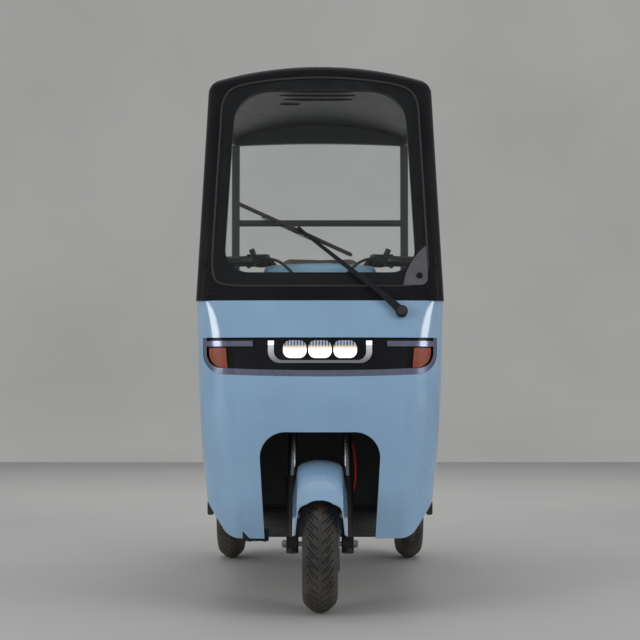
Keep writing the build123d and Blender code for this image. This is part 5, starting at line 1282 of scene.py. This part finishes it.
class TRIKE_OT_wiper(bpy.types.Operator):
    """Build the wiper blade, its bridge and the arm's cap"""

    bl_idname = "trike.wiper"
    bl_label = "Fit the wiper blade"

    def execute(self, context):
        line = eased(*(screen_point(across, height, 0) for across, height in BLADE_ENDS), 36)
        blade = strip(line, SCREEN_NORMAL, BLADE_SECTION, taper=0.55)
        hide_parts("wiper_blade")
        dress(blade, "wiper_blade_lipped", "wiper", "soft_rubber")
        held = line[10:26]
        side = SCREEN_NORMAL.cross(held[-1] - held[0]).normalized()
        rail_line = [place + side * -0.0105 for place in held]
        parts = [
            strip(held, SCREEN_NORMAL, BRIDGE_SECTION, taper=0.6),
            strip(rail_line, SCREEN_NORMAL, RAIL_SECTION)
        ]
        axes = Matrix(((held[-1] - held[0]).normalized(), side, SCREEN_NORMAL)).transposed()
        for index, length in CLAWS:
            place = held[index] + side * -0.006 + SCREEN_NORMAL * 0.0154
            parts.append(rounded_box((length, 0.0115, 0.0036), place, 0.0006, 2, axes.to_euler()))
        dress(join(parts), "wiper_bridge", "wiper", "black_plastic")
        place, normal = touch("wiper_arm", PIVOT_POINT + SCREEN_NORMAL * 0.3, -SCREEN_NORMAL)
        cap = disc_stack(
            place, normal,
            [(0.0135, -0.003), (0.0135, 0.001), (0.012, 0.0028), (0.0075, 0.0036), (0.002, 0.0038)]
        )
        dress(cap, "wiper_arm_cap", "wiper", "black_plastic")
        return {"FINISHED"}


# Behind and under the cowl: the guard's tabs, the mud flap with its ribs and clamp, and the bracket
TAB_ACROSS = 0.0635
TAB_HEIGHT = 0.2825
FLAP_SIZE = (0.41, 0.099, 0.022)
FLAP_HEIGHT = 0.2405
FLAP_RIBS = (0.201, 0.213, 0.225, 0.237)
CLAMP_HEIGHT = 0.275
FLAP_BOLTS = (-0.165, -0.055, 0.055, 0.165)
BRACKET_SIZE = (0.076, 0.036, 0.004)
BRACKET_LUGS = (-0.205, -0.160)


class TRIKE_OT_front_wheel_trim(bpy.types.Operator):
    """Add the guard's tabs, the mud flap and the cowl's bracket"""

    bl_idname = "trike.front_wheel_trim"
    bl_label = "Trim the front wheel's bay"

    def execute(self, context):
        for side, label in SIDES:
            across = side * TAB_ACROSS
            tab = rounded_box((0.009, 0.03, 0.016), (across, -0.722, TAB_HEIGHT), 0.002)
            dress(tab, "guard_tab_" + label, "steering", "bright_steel")
            place = Vector((across, -0.737, TAB_HEIGHT))
            hex_bolt(place, (0, -1, 0), 0.004, "guard_tab_bolt_" + label, "steering")
        outline = [(across, -0.4505, FLAP_HEIGHT + up) for across, up in rounded_outline(*FLAP_SIZE)]
        parts = [plate(outline, (0, -0.0045, 0))]
        for height in FLAP_RIBS:
            parts.append(rounded_box((0.36, 0.003, 0.0045), (0, -0.4555, height), 0.001, 2))
        dress(join(parts), "mud_flap", "chassis", "black_plastic")
        clamp = rounded_box((0.38, 0.003, 0.018), (0, -0.4562, CLAMP_HEIGHT), 0.001, 2)
        dress(clamp, "mud_flap_clamp", "chassis", "black_paint")
        for count, across in enumerate(FLAP_BOLTS):
            place = Vector((across, -0.4577, CLAMP_HEIGHT))
            hex_bolt(place, (0, -1, 0), 0.0045, "mud_flap_bolt_%d" % count, "chassis", "black_paint")
        outline = [(-0.187 + across, -0.7595, 0.229 + up) for across, up in rounded_outline(*BRACKET_SIZE)]
        parts = [plate(outline, (0, 0.004, 0))]
        for across in BRACKET_LUGS:
            parts.append(rounded_box((0.014, 0.02, 0.012), (across, -0.748, 0.2155), 0.002, 2))
        dress(join(parts), "cowl_bracket", "chassis", "black_paint")
        return {"FINISHED"}


# Circles of the wheel nuts and the disc bolts, and a post's bolts about its foot
NUT_CIRCLE = 0.023
DISC_CIRCLE = 0.028
POST_FOOT = (0.331, 0.77)
POST_BOLTS = ((-0.023, -0.027), (0.023, -0.027), (-0.023, 0.027), (0.023, 0.027))


class TRIKE_OT_fasteners(bpy.types.Operator):
    """Bolt down the rear posts, the wheels and the brake disc"""

    bl_idname = "trike.fasteners"
    bl_label = "Add the bolts and nuts"

    def execute(self, context):
        for side, label in SIDES:
            for count, (across, along) in enumerate(POST_BOLTS):
                start = (side * POST_FOOT[0] + across, POST_FOOT[1] + along, 0.66)
                place, normal = touch("rear_posts", start, (0, 0, -1))
                hex_bolt(place, normal, 0.0045, "post_bolt_%s_%d" % (label, count))
            centre = WHEEL_CENTRES["rear_tyre_" + label]
            for count in range(4):
                angle = math.radians(45 + 90 * count)
                ring = (centre.y + NUT_CIRCLE * math.cos(angle), centre.z + NUT_CIRCLE * math.sin(angle))
                place, normal = touch("rear_rim_" + label, (side * 0.6, *ring), (-side, 0, 0))
                name = "wheel_nut_%s_%d" % (label, count)
                hex_bolt(place, (side, 0, 0), 0.005, name, "rear_wheel_" + label)
        for count in range(5):
            angle = math.radians(72 * count)
            ring = (AXLE.y + DISC_CIRCLE * math.cos(angle), AXLE.z + DISC_CIRCLE * math.sin(angle))
            place, normal = touch("brake_disc", (0.0605, *ring), (-1, 0, 0))
            cap = disc_stack(
                place, (1, 0, 0), [(0.0045, -0.0005), (0.0045, 0.0014), (0.0036, 0.002), (0.0018, 0.0021)],
                16
            )
            dress(cap, "disc_bolt_%d" % count, "front_wheel", "bright_steel")
        return {"FINISHED"}


# The number plate and its holder as (width, height, corner), and the lamp rims' middle and outline
PLATE_HEIGHT = 0.43
HOLDER_SIZE = (0.262, 0.172, 0.012)
PLATE_SIZE = (0.246, 0.156, 0.008)
LAMP_MIDDLE = (0.318, 0.478)
LAMP_OUTLINE = (0.088, 0.120, 0.022, 4)


class TRIKE_OT_tail_trim(bpy.types.Operator):
    """Add the bare number plate in its holder and the lamp surrounds at the back"""

    bl_idname = "trike.tail_trim"
    bl_label = "Trim the tail"

    def execute(self, context):
        middle, out = touch("rear_body", (0, 2, PLATE_HEIGHT), (0, -1, 0))
        up = Vector((1, 0, 0)).cross(out) * -1
        up = up if up.z > 0 else -up
        for name, size, stand, depth, slot in (
            ("plate_holder", HOLDER_SIZE, -0.001, 0.006, "black_plastic"),
            ("plate_blank", PLATE_SIZE, 0.0045, 0.0025, "cast_alloy"),
        ):
            outline = []
            for across, rise in rounded_outline(*size):
                outline.append(middle + Vector((across, 0, 0)) + up * rise + out * stand)
            dress(plate(outline, tuple(out * depth)), name, "chassis", slot)
        for count, across in enumerate((-0.085, 0.085)):
            place = middle + Vector((across, 0, 0)) + up * 0.062 + out * 0.0068
            hex_bolt(place, out, 0.004, "plate_bolt_%d" % count)
        for side, label in SIDES:
            points = []
            for across, rise in rounded_outline(*LAMP_OUTLINE):
                start = (side * LAMP_MIDDLE[0] + across, 2, LAMP_MIDDLE[1] + rise)
                place, normal = touch("rear_body", start, (0, -1, 0))
                points.append(place + out * 0.002)
            ring = tube_along(points, 0.0032, closed=True)
            dress(ring, "tail_lamp_rim_" + label, "chassis", "black_plastic", 60)
        return {"FINISHED"}


# The floor ribs' level, the grips' height and the part of them that has rings, and the display's outline
FLOOR_LEVEL = 0.2990
GRIP_HEIGHT = 1.0492
GRIP_ENDS = (0.245, 0.305)
DISPLAY_OUTLINE = (0.128, 0.046, 0.008, 3)


class TRIKE_OT_cabin(bpy.types.Operator):
    """Rib the floor and the grips, and frame the display"""

    bl_idname = "trike.cabin"
    bl_label = "Fit the cabin's small parts"

    def execute(self, context):
        ribs = []
        for row in range(7):
            ribs.append(rounded_box((0.56, 0.005, 0.003), (0, -0.338 + 0.015 * row, FLOOR_LEVEL), 0.001, 2))
        for row in range(18):
            for side, label in SIDES:
                place = (side * 0.252, 0.04 + 0.019 * row, FLOOR_LEVEL)
                ribs.append(rounded_box((0.13, 0.005, 0.003), place, 0.001, 2))
        dress(join(ribs), "floor_ribs", "chassis", "soft_rubber")
        for side, label in SIDES:
            ends = []
            for across in GRIP_ENDS:
                front, normal = touch("handle_grips", (side * across, -1, GRIP_HEIGHT), (0, 1, 0))
                back, normal = touch("handle_grips", (side * across, 0, GRIP_HEIGHT), (0, -1, 0))
                ends.append((front + back) / 2)
            along = (ends[1] - ends[0]).normalized()
            rings = []
            for count in range(14):
                bpy.ops.mesh.primitive_torus_add(
                    major_segments=24, minor_segments=6, major_radius=0.0161, minor_radius=0.0011,
                    location=ends[0] + along * (-0.012 + 0.0062 * count), rotation=turned(along)
                )
                rings.append(settle(bpy.context.object))
            dress(join(rings), "grip_rings_" + label, "steering", "soft_rubber", 60)
        points = [Vector((across, -0.4236, 0.99 + up)) for across, up in rounded_outline(*DISPLAY_OUTLINE)]
        dress(tube_along(points, 0.0016, closed=True), "display_bezel", "steering", "black_plastic", 60)
        return {"FINISHED"}


class TRIKE_PT_panel(bpy.types.Panel):
    """The tricycle's steps and settings in the sidebar"""

    bl_label = "Electric tricycle"
    bl_space_type = "VIEW_3D"
    bl_region_type = "UI"
    bl_category = "Tricycle"

    def draw(self, context):
        layout = self.layout
        for settings in (context.scene.trike_colours, context.scene.trike_sizes):
            for name in settings.bl_rna.properties.keys():
                if name not in ("rna_type", "name"):
                    layout.prop(settings, name)
        for step in STEPS:
            layout.operator(step.bl_idname)


STEPS = (
    TRIKE_OT_stage, TRIKE_OT_finishes, TRIKE_OT_tyres, TRIKE_OT_seats, TRIKE_OT_screen_trim,
    TRIKE_OT_roof_ribs, TRIKE_OT_wiper, TRIKE_OT_front_wheel_trim, TRIKE_OT_fasteners, TRIKE_OT_tail_trim,
    TRIKE_OT_cabin
)
CLASSES = (TrikeColours, TrikeSizes, *STEPS, TRIKE_PT_panel)


def register():
    """Register the classes and hang their settings on the scene."""
    for item in CLASSES:
        bpy.utils.register_class(item)
    bpy.types.Scene.trike_colours = bpy.props.PointerProperty(type=TrikeColours)
    bpy.types.Scene.trike_sizes = bpy.props.PointerProperty(type=TrikeSizes)


def unregister():
    """Take the settings and the classes away again."""
    del bpy.types.Scene.trike_sizes
    del bpy.types.Scene.trike_colours
    for item in reversed(CLASSES):
        bpy.utils.unregister_class(item)


def main():
    """Run every step in order."""
    register()
    for step in STEPS:
        group, label = step.bl_idname.split(".")
        getattr(getattr(bpy.ops, group), label)()


if __name__ == "__main__":
    main()
